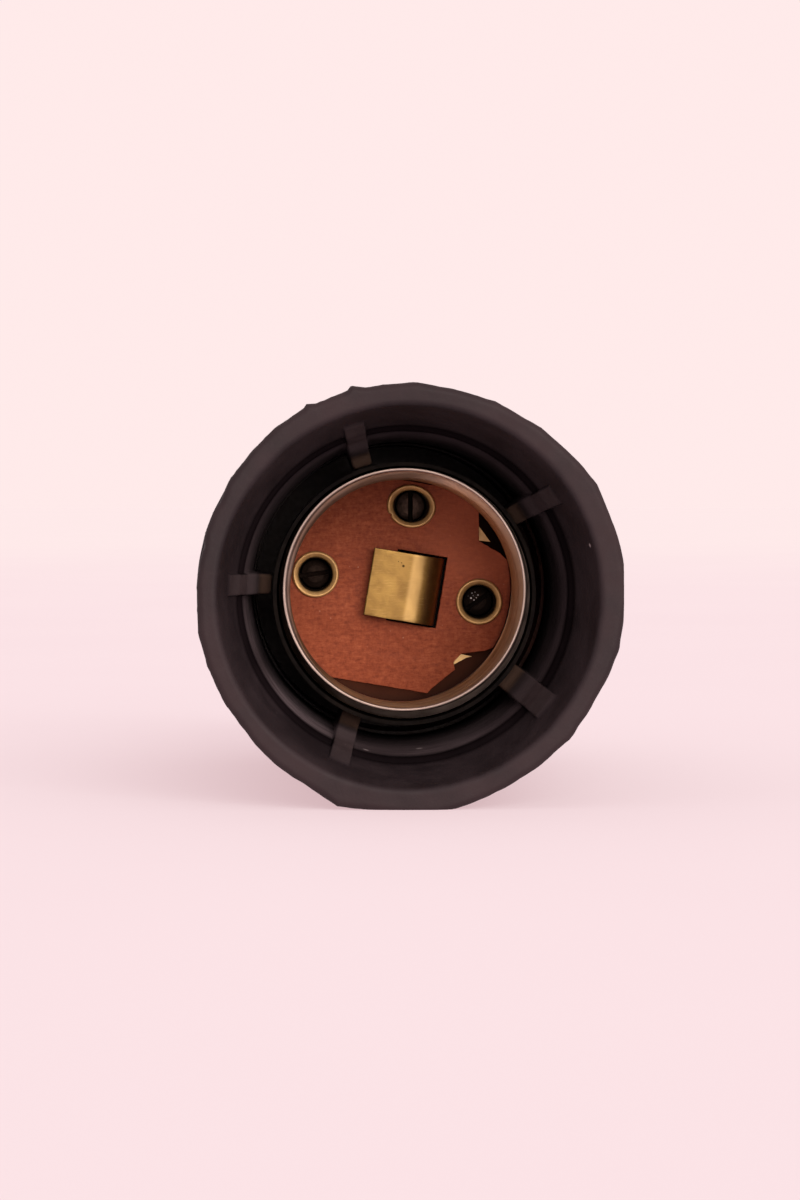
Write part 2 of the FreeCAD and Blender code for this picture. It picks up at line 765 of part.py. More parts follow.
# ------------------------------------------------------------------ fixing screws and nuts
def slotted_screw(label, head_r, head_tall, shank_r, length, slot_wide=0.55, slot_deep=0.65):
    """Head on top, seat at z = 0, shank down to -length."""
    b = new_body(label)
    spin_solid(b, "ScrewTurned", [
        (0.0, head_tall + 0.12), (head_r * 0.55, head_tall + 0.08), (head_r - 0.18, head_tall - 0.06),
        (head_r, head_tall - 0.3), (head_r, 0.0), (shank_r, 0.0),
        (shank_r, -(length - 0.5)), (shank_r - 0.4, -length), (0.0, -length)])
    cut(b, "Slot", head_tall + 0.5, head_tall - slot_deep,
        lambda s: rect(s, -(head_r + 0.5), head_r + 0.5, -slot_wide / 2, slot_wide / 2))
    return b


SLOT_TURN = {"right": 35.0, "top": 90.0, "left": 8.0}
fixing = []
for where, angle in SCREW_AT:
    x, y = screw_xy(angle)
    b = slotted_screw("fixing_screw_" + where, D.fix_head, D.fix_head_tall, D.fix_shank, D.fix_length)
    b.Placement = at(x, y, D.eyelet_seat, spin=SLOT_TURN[where] - D.core_turn.value)
    fixing.append(b)
    n = new_body("fixing_nut_" + where)
    pad(n, "NutBlank", 0.0, D.nut_tall,
        lambda s: rect(s, -(D.nut_side / 2), D.nut_side / 2, -(D.nut_side / 2), D.nut_side / 2))
    cut(n, "NutBore", D.nut_tall + 1.0, -1.0, lambda s: circle(s, 0.0, 0.0, D.fix_shank + 0.02))
    n.Placement = at(x, y, D.base_back + 0.9)
    fixing.append(n)

# ------------------------------------------------------------------ terminals
# Brass blocks: the wire goes in from behind and a screw clamps it from the side.
def terminal(label, clamp_plane):
    """Block with its contact face at x = 0, the block behind it towards -x."""
    b = new_body(label)
    pad(b, "BlockBlank", D.block_back, D.block_front,
        lambda s: rect(s, -D.block_thick, 0.0, -D.block_half, D.block_half))
    cut(b, "WireHole", D.block_back + 6.0, D.block_back - 0.5,
        lambda s: circle(s, -D.block_thick / 2, 0.0, D.wire_bore))
    return b


def bore_along(body, name, plane, u, v, radius, start, depth):
    """A round hole drilled along X or Y; start and depth are along the plane's normal."""
    before = solid_of(body)
    s = new_sketch(body, name + "Outline", plane, shift=start)
    circle(s, u, v, radius)
    f = body.newObject("PartDesign::Pocket", name)
    f.Profile = s
    set_length(f, depth)
    body.Tip = f
    if not solid_of(body) < before - 1e-3:
        raise ValueError(name + " cut nothing")
    return f


line_terminal = terminal("line_terminal", "XZ_Plane")
# XZ plane: its normal is -Y, so a start of -3.7 is at y = +3.7 and the hole runs to +Y
bore_along(line_terminal, "ClampHole", "XZ_Plane", -D.block_thick / 2, -39.4, D.clamp_shank, 0.0, 5.0)
bore_along(line_terminal, "RivetHole", "YZ_Plane", 0.0, -34.5, 0.9, 0.5, 3.4)
line_terminal.Placement = at(D.strip_leg - D.strip_thick, 0.0, 0.0)

neutral_terminal = terminal("neutral_terminal", "XZ_Plane")
bore_along(neutral_terminal, "ClampHole", "XZ_Plane", -D.block_thick / 2, -39.4, D.clamp_shank, 0.0, 5.0)
bore_along(neutral_terminal, "RivetHole", "YZ_Plane", 0.0, -34.5, 0.9, 0.5, 3.4)
neutral_terminal.Placement = at(0.0, D.neutral_face + 0.05, 0.0, Vector(0, 0, 1), 90.0)

# clamp screws: seat on the block's side, reach the wire hole
line_clamp = slotted_screw("line_terminal_screw", D.clamp_head, 1.3, D.clamp_shank - 0.02, 2.1)
line_clamp.Placement = at(D.strip_leg - D.strip_thick - D.block_thick / 2, D.block_half, -39.4,
                          Vector(1, 0, 0), -90.0, spin=20.0)
neutral_clamp = slotted_screw("neutral_terminal_screw", D.clamp_head, 1.3, D.clamp_shank - 0.02, 2.1)
neutral_clamp.Placement = at(-D.block_half, D.neutral_face + 0.05 - D.block_thick / 2, -39.4,
                             Vector(0, 1, 0), -90.0, spin=65.0)


def rivet(label):
    """Flat head on the strip at x from 0 to 0.45 outwards, shank back through the block."""
    b = new_body(label)
    spin_solid(b, "RivetTurned", [(0.0, 0.5), (1.0, 0.5), (1.55, 0.2), (1.55, 0.0), (0.88, 0.0),
                                  (0.88, -3.2), (0.0, -3.2)])
    return b


contact_rivet = rivet("contact_rivet")
contact_rivet.Placement = at(D.strip_leg, 0.0, -34.5, Vector(0, 1, 0), 90.0)
neutral_rivet = rivet("neutral_rivet")
neutral_rivet.Placement = at(0.0, D.neutral_face + 0.05 + D.plate_sheet, -34.5, Vector(1, 0, 0), -90.0)

# ------------------------------------------------------------------ cord grip
saddle = new_body("cord_saddle")


def arch(s):
    outline(s, [(-9.6, 0.3), (-3.9, 0.3), (3.9, 0.3), (9.6, 0.3), (9.6, 2.3), (5.3, 2.3), (4.6, 3.9),
                (2.9, 5.2), (0.0, 5.7), (-2.9, 5.2), (-4.6, 3.9), (-5.3, 2.3), (-9.6, 2.3)])


pad(saddle, "SaddleBlank", -51.2, -44.8, arch)
cut(saddle, "SaddleChannel", -44.0, -52.0, lambda s: circle(s, 0.0, 0.0, D.cable_bore))
before = solid_of(saddle)
sh = new_sketch(saddle, "SaddleHolesOutline", "XZ_Plane", shift=-6.0)
for side in (-1, 1):
    circle(sh, D.saddle_screw_at * side, -48.0, 1.45)
sp = saddle.newObject("PartDesign::Pocket", "SaddleHoles")
sp.Profile = sh
sp.Midplane = True
set_length(sp, 14.0)
saddle.Tip = sp
if not solid_of(saddle) < before - 1.0:
    raise ValueError("saddle screw holes cut nothing")
saddle.Placement = CORE

saddle_screws = []
for where, side in (("left", -1), ("right", 1)):
    b = slotted_screw("saddle_screw_" + where, D.clamp_head + 0.1, 1.4, 1.28, 8.2)
    b.Placement = at(D.saddle_screw_at * side, 2.3, -48.0, Vector(1, 0, 0), -90.0, spin=15.0 + 50.0 * side)
    saddle_screws.append(b)

doc.recompute()

# ------------------------------------------------------------------ rivet holes in the strips
before = solid_of(contact)
rh = new_sketch(contact, "ContactRivetHole", "YZ_Plane", shift=6.0)
circle(rh, 0.0, -34.5, 0.92)
rp = contact.newObject("PartDesign::Pocket", "RivetHole")
rp.Profile = rh
set_length(rp, 3.0)
contact.Tip = rp
if not solid_of(contact) < before - 0.5:
    raise ValueError("contact rivet hole cut nothing")
before = solid_of(plate)
rh = new_sketch(plate, "PlateRivetHole", "XZ_Plane", shift=-D.neutral_face - 3.0)
circle(rh, 0.0, -34.5, 0.92)
rp = plate.newObject("PartDesign::Pocket", "RivetHole")
rp.Profile = rh
rp.Midplane = True
set_length(rp, 8.0)
plate.Tip = rp
if not solid_of(plate) < before - 0.5:
    raise ValueError("plate rivet hole cut nothing")

# ------------------------------------------------------------------ write the pieces
NODES = [boot, screw_shell, sleeve, disc, plate] + eyelets + [contact, base] + fixing + [
    line_terminal, neutral_terminal, line_clamp, neutral_clamp, contact_rivet, neutral_rivet,
    saddle] + saddle_screws

doc.recompute()
bad = [o.Name for o in doc.Objects if "Invalid" in o.State or "Error" in o.State]
if bad:
    raise ValueError("objects failed: " + ", ".join(bad))
os.makedirs("parts", exist_ok=True)
for node in NODES:
    shape = node.Shape
    if shape.isNull() or not shape.isValid():
        raise ValueError(node.Label + " has no valid shape")
    if len(shape.Solids) != 1:
        raise ValueError("%s has %d solids" % (node.Label, len(shape.Solids)))
    bb = shape.BoundBox
    print("%-24s %9.2f mm3  X %.2f..%.2f  Y %.2f..%.2f  Z %.2f..%.2f" % (
        node.Label, shape.Volume, bb.XMin, bb.XMax, bb.YMin, bb.YMax, bb.ZMin, bb.ZMax))
    shape.exportStep("parts/%s.step" % node.Label)
print(len(NODES), "pieces")
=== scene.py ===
import math

import bpy
import numpy as np
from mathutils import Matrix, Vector, noise


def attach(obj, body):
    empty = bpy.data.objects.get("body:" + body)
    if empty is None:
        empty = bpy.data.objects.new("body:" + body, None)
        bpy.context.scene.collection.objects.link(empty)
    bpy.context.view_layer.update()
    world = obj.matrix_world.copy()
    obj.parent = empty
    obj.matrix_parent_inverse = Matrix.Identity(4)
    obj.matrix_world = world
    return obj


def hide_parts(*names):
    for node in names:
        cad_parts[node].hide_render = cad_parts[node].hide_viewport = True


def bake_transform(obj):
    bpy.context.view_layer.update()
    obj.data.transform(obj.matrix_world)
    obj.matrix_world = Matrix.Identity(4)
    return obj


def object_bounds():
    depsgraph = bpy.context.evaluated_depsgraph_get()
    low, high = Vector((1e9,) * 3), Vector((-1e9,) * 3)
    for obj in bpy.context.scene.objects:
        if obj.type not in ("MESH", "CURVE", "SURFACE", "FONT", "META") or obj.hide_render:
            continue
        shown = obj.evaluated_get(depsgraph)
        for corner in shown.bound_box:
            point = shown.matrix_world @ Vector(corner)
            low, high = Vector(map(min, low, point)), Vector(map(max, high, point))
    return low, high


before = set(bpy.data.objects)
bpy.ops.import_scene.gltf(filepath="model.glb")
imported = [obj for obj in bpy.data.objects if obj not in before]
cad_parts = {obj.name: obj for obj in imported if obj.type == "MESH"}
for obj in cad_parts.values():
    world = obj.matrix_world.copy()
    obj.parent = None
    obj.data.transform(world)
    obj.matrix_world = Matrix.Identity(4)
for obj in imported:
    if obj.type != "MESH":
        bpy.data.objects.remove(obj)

# Rubber lamp holder on its side: +Y runs from the mouth to the neck, +Z is up, metres.
# Sizes below are written in millimetres and scaled once, by MM.
MM = 0.001
cad_lo, cad_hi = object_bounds()
LOW_Z = cad_lo.z / MM                      # the flat that the boot lies on
BOX_LO = [c / MM for c in cad_lo]
BOX_HI = [c / MM for c in cad_hi]
CORE_TURN = math.radians(-9.6)             # the inside parts sit turned in the boot
scene = bpy.context.scene


# ---------------------------------------------------------------- small helpers
def core_xy(x, z):
    """A point given in the core's own upright frame, seen into the mouth, turned into the row frame."""
    c, s = math.cos(CORE_TURN), math.sin(CORE_TURN)
    return x * c - z * s, x * s + z * c


def lerp(a, b, t):
    return a + (b - a) * t


def smooth(a, b, x):
    t = min(1.0, max(0.0, (x - a) / (b - a)))
    return t * t * (3 - 2 * t)


def table_at(x, xs, ys):
    return float(np.interp(x, xs, ys))


def wobble(x, y, z, size, seed=0.0):
    """Smooth noise, about -1 to 1, with lumps of the given size in millimetres."""
    return noise.noise(Vector((x / size + seed, y / size - seed * 0.7, z / size + seed * 1.3)))


def mesh_object(name, verts, faces, smooth_faces=True, sharp_deg=None):
    me = bpy.data.meshes.new(name)
    me.from_pydata([(x * MM, y * MM, z * MM) for x, y, z in verts], [], faces)
    me.validate()
    me.update()
    ob = bpy.data.objects.new(name, me)
    scene.collection.objects.link(ob)
    if smooth_faces:
        me.polygons.foreach_set("use_smooth", [True] * len(me.polygons))
    if sharp_deg is not None:
        me.set_sharp_from_angle(angle=math.radians(sharp_deg))
    return ob


def ring_faces(rows, cols, closed_rows=False, flip=False):
    """Quads of a grid that is closed around its columns."""
    out = []
    last = rows if closed_rows else rows - 1
    for j in range(last):
        a, b = j * cols, ((j + 1) % rows) * cols
        for i in range(cols):
            k = (i + 1) % cols
            q = (a + i, a + k, b + k, b + i)
            out.append(q[::-1] if flip else q)
    return out


def rounded(points, seg=6):
    """A polyline of (r, y, fillet) corners with each corner rounded, as (r, y) points."""
    out = []
    n = len(points)
    for i, p in enumerate(points):
        f = p[2]
        if f <= 0 or i == 0 or i == n - 1:
            out.append((p[0], p[1]))
            continue
        P = Vector(p[:2])
        A = Vector(points[i - 1][:2]) - P
        B = Vector(points[i + 1][:2]) - P
        la, lb = A.length, B.length
        A.normalize()
        B.normalize()
        half = math.acos(max(-1.0, min(1.0, A.dot(B)))) / 2
        if half > math.pi / 2 - 0.02:
            out.append((p[0], p[1]))
            continue
        d = min(f / math.tan(half), la * 0.48, lb * 0.48)
        rad = d * math.tan(half)
        C = P + (A + B).normalized() * (rad / math.sin(half))
        s, e = P + A * d - C, P + B * d - C
        turn = s.angle_signed(e)
        steps = max(2, int(round(seg * abs(turn) / (math.pi / 2))))
        for k in range(steps + 1):
            t = -turn * k / steps
            c, si = math.cos(t), math.sin(t)
            out.append((C.x + s.x * c - s.y * si, C.y + s.x * si + s.y * c))
    return out


def filled(points, step_of):
    """The polyline with extra points, so that no step is longer than step_of(r, y)."""
    out = [points[0]]
    for a, b in zip(points[:-1], points[1:]):
        d = math.hypot(b[0] - a[0], b[1] - a[1])
        n = max(1, math.ceil(d / step_of((a[0] + b[0]) / 2, (a[1] + b[1]) / 2)))
        for k in range(1, n + 1):
            out.append((lerp(a[0], b[0], k / n), lerp(a[1], b[1], k / n)))
    return out


# ---------------------------------------------------------------- camera
# 85 mm lens, a hand's length in front of the mouth and a little above its axis.
AIM = Vector((-0.00097, -0.012, -0.00026))
AZ, EL = math.radians(-2.14), math.radians(1.9)
back = Vector((math.sin(AZ) * math.cos(EL), -math.cos(AZ) * math.cos(EL), math.sin(EL)))
cam_data = bpy.data.cameras.new("Camera")
cam_data.sensor_width = 36.0
cam_data.sensor_height = 36.0
cam_data.lens = 85.5
cam_data.clip_start = 0.01
cam_data.clip_end = 60.0
cam = bpy.data.objects.new("Camera", cam_data)
scene.collection.objects.link(cam)
cam.location = AIM + back * 0.296
cam.rotation_mode = "QUATERNION"
cam.rotation_quaternion = (-back).to_track_quat("-Z", "Y")
scene.camera = cam


# ---------------------------------------------------------------- materials
class Finish:
    """A node material: a Principled shader and helpers that add textures to it."""

    def __init__(self, name, **uniform):
        self.mat = bpy.data.materials.new(name)
        self.mat.use_nodes = True
        self.nt = self.mat.node_tree
        self.nt.nodes.clear()
        self.out = self.add("ShaderNodeOutputMaterial")
        self.bsdf = self.add("ShaderNodeBsdfPrincipled")
        self.nt.links.new(self.bsdf.outputs[0], self.out.inputs[0])
        for key, value in uniform.items():
            socket = self.bsdf.inputs[key.replace("_", " ")]
            socket.default_value = (*value, 1.0) if isinstance(value, tuple) else value
        self.coord = self.add("ShaderNodeTexCoord").outputs["Object"]

    def add(self, kind, **props):
        node = self.nt.nodes.new(kind)
        for k, v in props.items():
            setattr(node, k, v)
        return node

    def put(self, socket, value):
        if isinstance(value, bpy.types.NodeSocket):
            self.nt.links.new(value, socket)
        elif isinstance(value, tuple) and len(value) == 3 and socket.type == "RGBA":
            socket.default_value = (*value, 1.0)
        else:
            socket.default_value = value

    def mapped(self, scale=(1, 1, 1), rot=(0, 0, 0), shift=(0, 0, 0)):
        m = self.add("ShaderNodeMapping")
        m.inputs["Location"].default_value = shift
        m.inputs["Rotation"].default_value = rot
        m.inputs["Scale"].default_value = scale
        self.nt.links.new(self.coord, m.inputs["Vector"])
        return m.outputs[0]

    def noise(self, size_mm, detail=3.0, rough=0.5, vec=None, warp=0.0):
        n = self.add("ShaderNodeTexNoise")
        n.inputs["Scale"].default_value = 1.0 / (size_mm * MM)
        n.inputs["Detail"].default_value = detail
        n.inputs["Roughness"].default_value = rough
        n.inputs["Distortion"].default_value = warp
        self.put(n.inputs["Vector"], vec if vec is not None else self.coord)
        return n.outputs["Fac"]

    def cells(self, size_mm, vec=None, feature="F1", jitter=1.0):
        n = self.add("ShaderNodeTexVoronoi", feature=feature)
        n.inputs["Scale"].default_value = 1.0 / (size_mm * MM)
        n.inputs["Randomness"].default_value = jitter
        self.put(n.inputs["Vector"], vec if vec is not None else self.coord)
        return n.outputs["Distance"]

    def ramp(self, fac, stops, ease="LINEAR"):
        r = self.add("ShaderNodeValToRGB")
        r.color_ramp.interpolation = ease
        els = r.color_ramp.elements
        while len(els) < len(stops):
            els.new(0.5)
        for el, (at, col) in zip(els, stops):
            el.position = at
            el.color = (*col, 1.0) if isinstance(col, tuple) else (col, col, col, 1.0)
        self.put(r.inputs[0], fac)
        return r.outputs[0]

    def span(self, value, a, b, c=0.0, d=1.0):
        """value from a..b becomes c..d, clamped and eased."""
        m = self.add("ShaderNodeMapRange", interpolation_type="SMOOTHSTEP")
        self.put(m.inputs["Value"], value)
        for k, v in (("From Min", a), ("From Max", b), ("To Min", c), ("To Max", d)):
            m.inputs[k].default_value = v
        return m.outputs["Result"]

    def calc(self, op, a, b=None, clamp=False):
        m = self.add("ShaderNodeMath", operation=op, use_clamp=clamp)
        self.put(m.inputs[0], a)
        if b is not None:
            self.put(m.inputs[1], b)
        return m.outputs[0]

    def mix(self, fac, a, b, how="MIX"):
        m = self.add("ShaderNodeMix", data_type="RGBA", blend_type=how)
        self.put(m.inputs["Factor"], fac)
        self.put(m.inputs[6], a)
        self.put(m.inputs[7], b)
        return m.outputs[2]

    def parts(self, vec=None):
        s = self.add("ShaderNodeSeparateXYZ")
        self.put(s.inputs[0], vec if vec is not None else self.coord)
        return s.outputs

    def radius(self, x0=0.0, z0=0.0):
        """Distance from an axis parallel to Y through (x0, z0) millimetres, in millimetres."""
        p = self.parts()
        dx = self.calc("SUBTRACT", p["X"], x0 * MM)
        dz = self.calc("SUBTRACT", p["Z"], z0 * MM)
        sq = self.calc("ADD", self.calc("MULTIPLY", dx, dx), self.calc("MULTIPLY", dz, dz))
        return self.calc("MULTIPLY", self.calc("SQRT", sq), 1000.0)

    def spot(self, x, y, z, inner, outer):
        """1 within inner millimetres of a point, falling to 0 at outer."""
        d = self.add("ShaderNodeVectorMath", operation="DISTANCE")
        self.put(d.inputs[0], self.coord)
        d.inputs[1].default_value = (x * MM, y * MM, z * MM)
        return self.span(d.outputs["Value"], inner * MM, outer * MM, 1.0, 0.0)

    def bump(self, height, depth_mm, strength=1.0, under=None):
        b = self.add("ShaderNodeBump")
        b.inputs["Strength"].default_value = strength
        b.inputs["Distance"].default_value = depth_mm * MM
        self.put(b.inputs["Height"], height)
        if under is not None:
            self.put(b.inputs["Normal"], under)
        return b.outputs[0]

    def color(self, c):
        self.put(self.bsdf.inputs["Base Color"], c)

    def rough(self, r):
        self.put(self.bsdf.inputs["Roughness"], r)

    def normal(self, n):
        self.put(self.bsdf.inputs["Normal"], n)


def rubber_finish():
    f = Finish("moulded_rubber", Specular_IOR_Level=0.20)
    p = f.parts()
    y_mm = f.calc("MULTIPLY", p["Y"], 1000.0)
    r_mm = f.radius()
    broad = f.noise(7.0, 4.0, 0.55, warp=0.4)
    patch = f.noise(2.2, 4.0, 0.6)
    grain = f.noise(0.35, 3.0, 0.6)
    dark, pale = (0.0088, 0.0056, 0.0070), (0.0198, 0.0128, 0.0150)
    col = f.mix(f.span(broad, 0.32, 0.70), dark, pale)
    col = f.mix(f.calc("MULTIPLY", f.span(patch, 0.50, 0.78), 0.40), col, (0.022, 0.0145, 0.0158))
    # grey bloom on the lip's face, where the rubber has been handled
    lip = f.calc("MULTIPLY", f.span(y_mm, -9.6, -11.4), f.span(r_mm, 19.6, 20.8))
    bloom = f.calc("MULTIPLY", lip, f.span(broad, 0.25, 0.75, 0.45, 1.0))
    col = f.mix(f.calc("MULTIPLY", bloom, 0.72), col, (0.0280, 0.0158, 0.0168))
    # painted shade in the groove
    groove_shade = f.calc("MULTIPLY", f.span(y_mm, -4.4, -3.1), f.span(y_mm, -0.2, -1.5))
    col = f.mix(f.calc("MULTIPLY", f.calc("MULTIPLY", groove_shade, f.span(r_mm, 19.0, 18.7)), 0.80), col, (0.0030, 0.0020, 0.0023))
    # painted sheen on the wall behind it, most at the lower left, in streaks that follow it round
    wall = f.calc("MULTIPLY", f.calc("MULTIPLY", f.span(y_mm, -1.2, 0.4), f.span(y_mm, 13.0, 8.5)),
                  f.calc("MULTIPLY", f.span(r_mm, 15.9, 16.3), f.span(r_mm, 18.4, 18.0)))
    sheen_streak = f.noise(1.0, 4.0, 0.65, vec=f.mapped(scale=(0.16, 1.7, 0.16)))
    col = f.mix(f.calc("MULTIPLY", wall, f.span(sheen_streak, 0.30, 0.72, 0.35, 0.85)), col, (0.060, 0.043, 0.046))
    for x, z, a, b, amount in ((-11.0, -12.6, 1.0, 7.0, 0.70), (4.5, -16.0, 1.0, 7.5, 0.22), (-15.9, -3.9, 0.5, 3.6, 0.22)):
        d = f.radius(x, z)
        sheen_spot = f.calc("MULTIPLY", f.calc("MULTIPLY", wall, f.span(d, b, a)), f.span(sheen_streak, 0.34, 0.66, 0.30, 1.0))
        col = f.mix(f.calc("MULTIPLY", sheen_spot, amount), col, (0.170, 0.132, 0.142))
    # painted shade past the ribs' inner ends, where hardly any light reaches; the specular level is lowered there and
    # in the groove
    # (inside the bore only: the shoulder and nose outside are further back)
    deep = f.calc("MULTIPLY", f.calc("MULTIPLY", f.span(y_mm, 12.5, 15.0), f.span(y_mm, 54.0, 53.0)), f.span(r_mm, 19.5, 19.0))
    col = f.mix(deep, col, (0.0036, 0.0025, 0.0026))
    matt = f.calc("MAXIMUM", deep, f.calc("MULTIPLY", groove_shade, f.span(r_mm, 19.0, 18.7)))
    f.put(f.bsdf.inputs["Specular IOR Level"], f.calc("SUBTRACT", 0.20, f.calc("MULTIPLY", matt, 0.19)))
    # painted highlight along the rib crests, paler there; they are also browner towards their inner ends
    worn = f.add("ShaderNodeAttribute", attribute_name="rib_top").outputs["Fac"]
    col = f.mix(f.calc("MULTIPLY", worn, f.span(patch, 0.25, 0.75, 0.62, 0.90)), col, (0.048, 0.0345, 0.0355))
    tip = f.calc("MULTIPLY", worn, f.calc("MULTIPLY", f.span(y_mm, 3.2, 5.0), f.span(y_mm, 9.5, 6.8)))
    col = f.mix(f.calc("MULTIPLY", tip, 0.75), col, (0.125, 0.074, 0.050))
    # fine pale dust, a few grains only
    dust = f.calc("MULTIPLY", f.span(f.cells(1.9), 0.050, 0.028), f.span(f.noise(6.0, 2.0), 0.52, 0.62))
    col = f.mix(f.calc("MULTIPLY", dust, 0.35), col, (0.20, 0.16, 0.16))
    for x, y, z, a, b, amount in ((19.0, -10.6, 5.4, 0.12, 0.30, 0.90), (19.1, -9.4, -7.3, 0.15, 0.7, 0.35),
                                  (-4.2, 0.3, -16.9, 0.12, 0.45, 0.55), (1.7, 3.3, -17.0, 0.12, 0.50, 0.55)):
        col = f.mix(f.calc("MULTIPLY", f.spot(x, y, z, a, b), amount), col, (0.33, 0.28, 0.28))
    f.color(col)
    f.rough(f.span(f.calc("ADD", f.calc("MULTIPLY", broad, 0.6), f.calc("MULTIPLY", patch, 0.4)), 0.3, 0.7, 0.56, 0.74))
    low = f.bump(patch, 0.10, 0.5)
    f.normal(f.bump(grain, 0.03, 0.6, low))
    return f.mat


def fibre_finish():
    """Pressed red fibre board: short threads, most of them level, under a resin skin."""
    f = Finish("red_fibre", Specular_IOR_Level=0.16)
    turned = f.mapped(rot=(0, -CORE_TURN, 0))
    along = f.noise(1.0, 3.0, 0.65, vec=f.mapped(scale=(0.75, 1, 2.7), rot=(0, -CORE_TURN, 0)), warp=0.4)
    across = f.noise(1.0, 3.0, 0.65, vec=f.mapped(scale=(2.4, 1, 0.8), rot=(0, -CORE_TURN, 0)), warp=0.4)
    mottle = f.noise(2.6, 4.0, 0.6, vec=turned, warp=0.6)
    fine = f.noise(0.42, 3.0, 0.7, vec=turned)
    weave = f.calc("ADD", f.calc("MULTIPLY", along, 0.70), f.calc("MULTIPLY", across, 0.30))
    col = f.ramp(f.calc("ADD", f.calc("MULTIPLY", weave, 0.60), f.calc("MULTIPLY", fine, 0.40)),
                 [(0.38, (0.225, 0.048, 0.0215)), (0.50, (0.335, 0.080, 0.0350)), (0.63, (0.445, 0.120, 0.0550))])
    col = f.mix(f.calc("MULTIPLY", f.span(mottle, 0.35, 0.72), 0.26), col, (0.205, 0.041, 0.0195))
    flecks = f.calc("MULTIPLY", f.span(f.cells(1.25, vec=turned), 0.10, 0.04), f.span(mottle, 0.45, 0.60))
    col = f.mix(f.calc("MULTIPLY", flecks, 0.5), col, (0.58, 0.28, 0.18))
    r = f.radius()
    # painted shade round the disc's edge, next to the shell's wall
    col = f.mix(f.calc("MULTIPLY", f.span(r, 12.45, 13.15), 0.60), col, (0.085, 0.019, 0.011))
    # painted light: the disc is paler towards the upper right, where the shell's wall shades it
    col = f.mix(f.span(f.radius(10.0, 6.5), 9.5, 3.0, 0.0, 0.55), col, (0.600, 0.170, 0.085))
    f.color(col)
    f.rough(f.span(fine, 0.3, 0.7, 0.58, 0.80))
    f.normal(f.bump(fine, 0.03, 0.6, f.bump(weave, 0.07, 0.7)))
    return f.mat


def brass_finish(name, base, deep, bright, brush=(14.0, 1.0, 0.8), rough=(0.24, 0.42), tarnish=0.5, seed=0.0,
                 marks=(), shade_from=None, dark=(0.03, 0.018, 0.010), metal=1.0, light_bands=None):
    """Rolled brass: fine draw lines, cloudy tarnish and a few pits; optionally painted highlight and shade stripes, and
    painted shade deeper in.
    """
    f = Finish(name, Metallic=metal)
    lines = f.noise(0.45, 4.0, 0.7, vec=f.mapped(scale=brush, rot=(0, -CORE_TURN, 0), shift=(seed, seed, 0)))
    cloud = f.noise(2.4, 4.0, 0.6, vec=f.mapped(shift=(seed * 0.01, 0, seed * 0.013)), warp=0.5)
    small = f.noise(0.5, 4.0, 0.6)
    col = f.mix(f.span(cloud, 0.36, 0.68, 0.0, tarnish), base, deep)
    col = f.mix(f.span(lines, 0.50, 0.74, 0.0, 0.45), col, bright)
    pits = f.span(f.cells(0.85), 0.075, 0.035)
    pits = f.calc("MULTIPLY", pits, f.span(small, 0.52, 0.60))
    col = f.mix(f.calc("MULTIPLY", pits, 0.60), col, (0.045, 0.026, 0.012))
    if light_bands is not None:
        # painted light stripes across the strip: a painted highlight, and painted darker stripes beside it and over the
        # bend
        across = f.calc("MULTIPLY", f.parts(f.mapped(rot=(0, CORE_TURN, 0)))["X"], 1000.0)
        uneven = f.calc("ADD", across, f.calc("MULTIPLY", f.calc("SUBTRACT", cloud, 0.5), 0.4))
        for lo0, lo1, hi0, hi1, amount, tint in light_bands:
            painted_stripe = f.calc("MULTIPLY", f.span(uneven, lo0, lo1), f.span(uneven, hi1, hi0))
            col = f.mix(f.calc("MULTIPLY", painted_stripe, amount), col, tint)
    for x, z, inner, outer in marks:
        # pits go by their place on the strip's face
        col = f.mix(f.calc("MULTIPLY", f.span(f.radius(x, z), inner, outer, 1.0, 0.0), 0.92), col, (0.020, 0.011, 0.006))
    # painted shade deeper in: from the first given depth on, the colour goes over to the dark one
    if shade_from is not None:
        y_mm = f.calc("MULTIPLY", f.parts()["Y"], 1000.0)
        col = f.mix(f.span(y_mm, shade_from[0], shade_from[1], 0.0, 0.96), col, dark)
    f.color(col)
    f.rough(f.span(f.calc("ADD", f.calc("MULTIPLY", lines, 0.5), f.calc("MULTIPLY", cloud, 0.5)), 0.32, 0.70, *rough))
    f.normal(f.bump(lines, 0.012, 0.7, f.bump(cloud, 0.05, 0.4)))
    return f.mat


def plain_metal(name, base, deep, rough=(0.3, 0.5)):
    f = Finish(name, Metallic=1.0)
    cloud = f.noise(1.6, 4.0, 0.6)
    fine = f.noise(0.22, 3.0, 0.6)
    f.color(f.mix(f.span(cloud, 0.35, 0.7), base, deep))
    f.rough(f.span(fine, 0.3, 0.7, *rough))
    f.normal(f.bump(fine, 0.012, 0.5))
    return f.mat


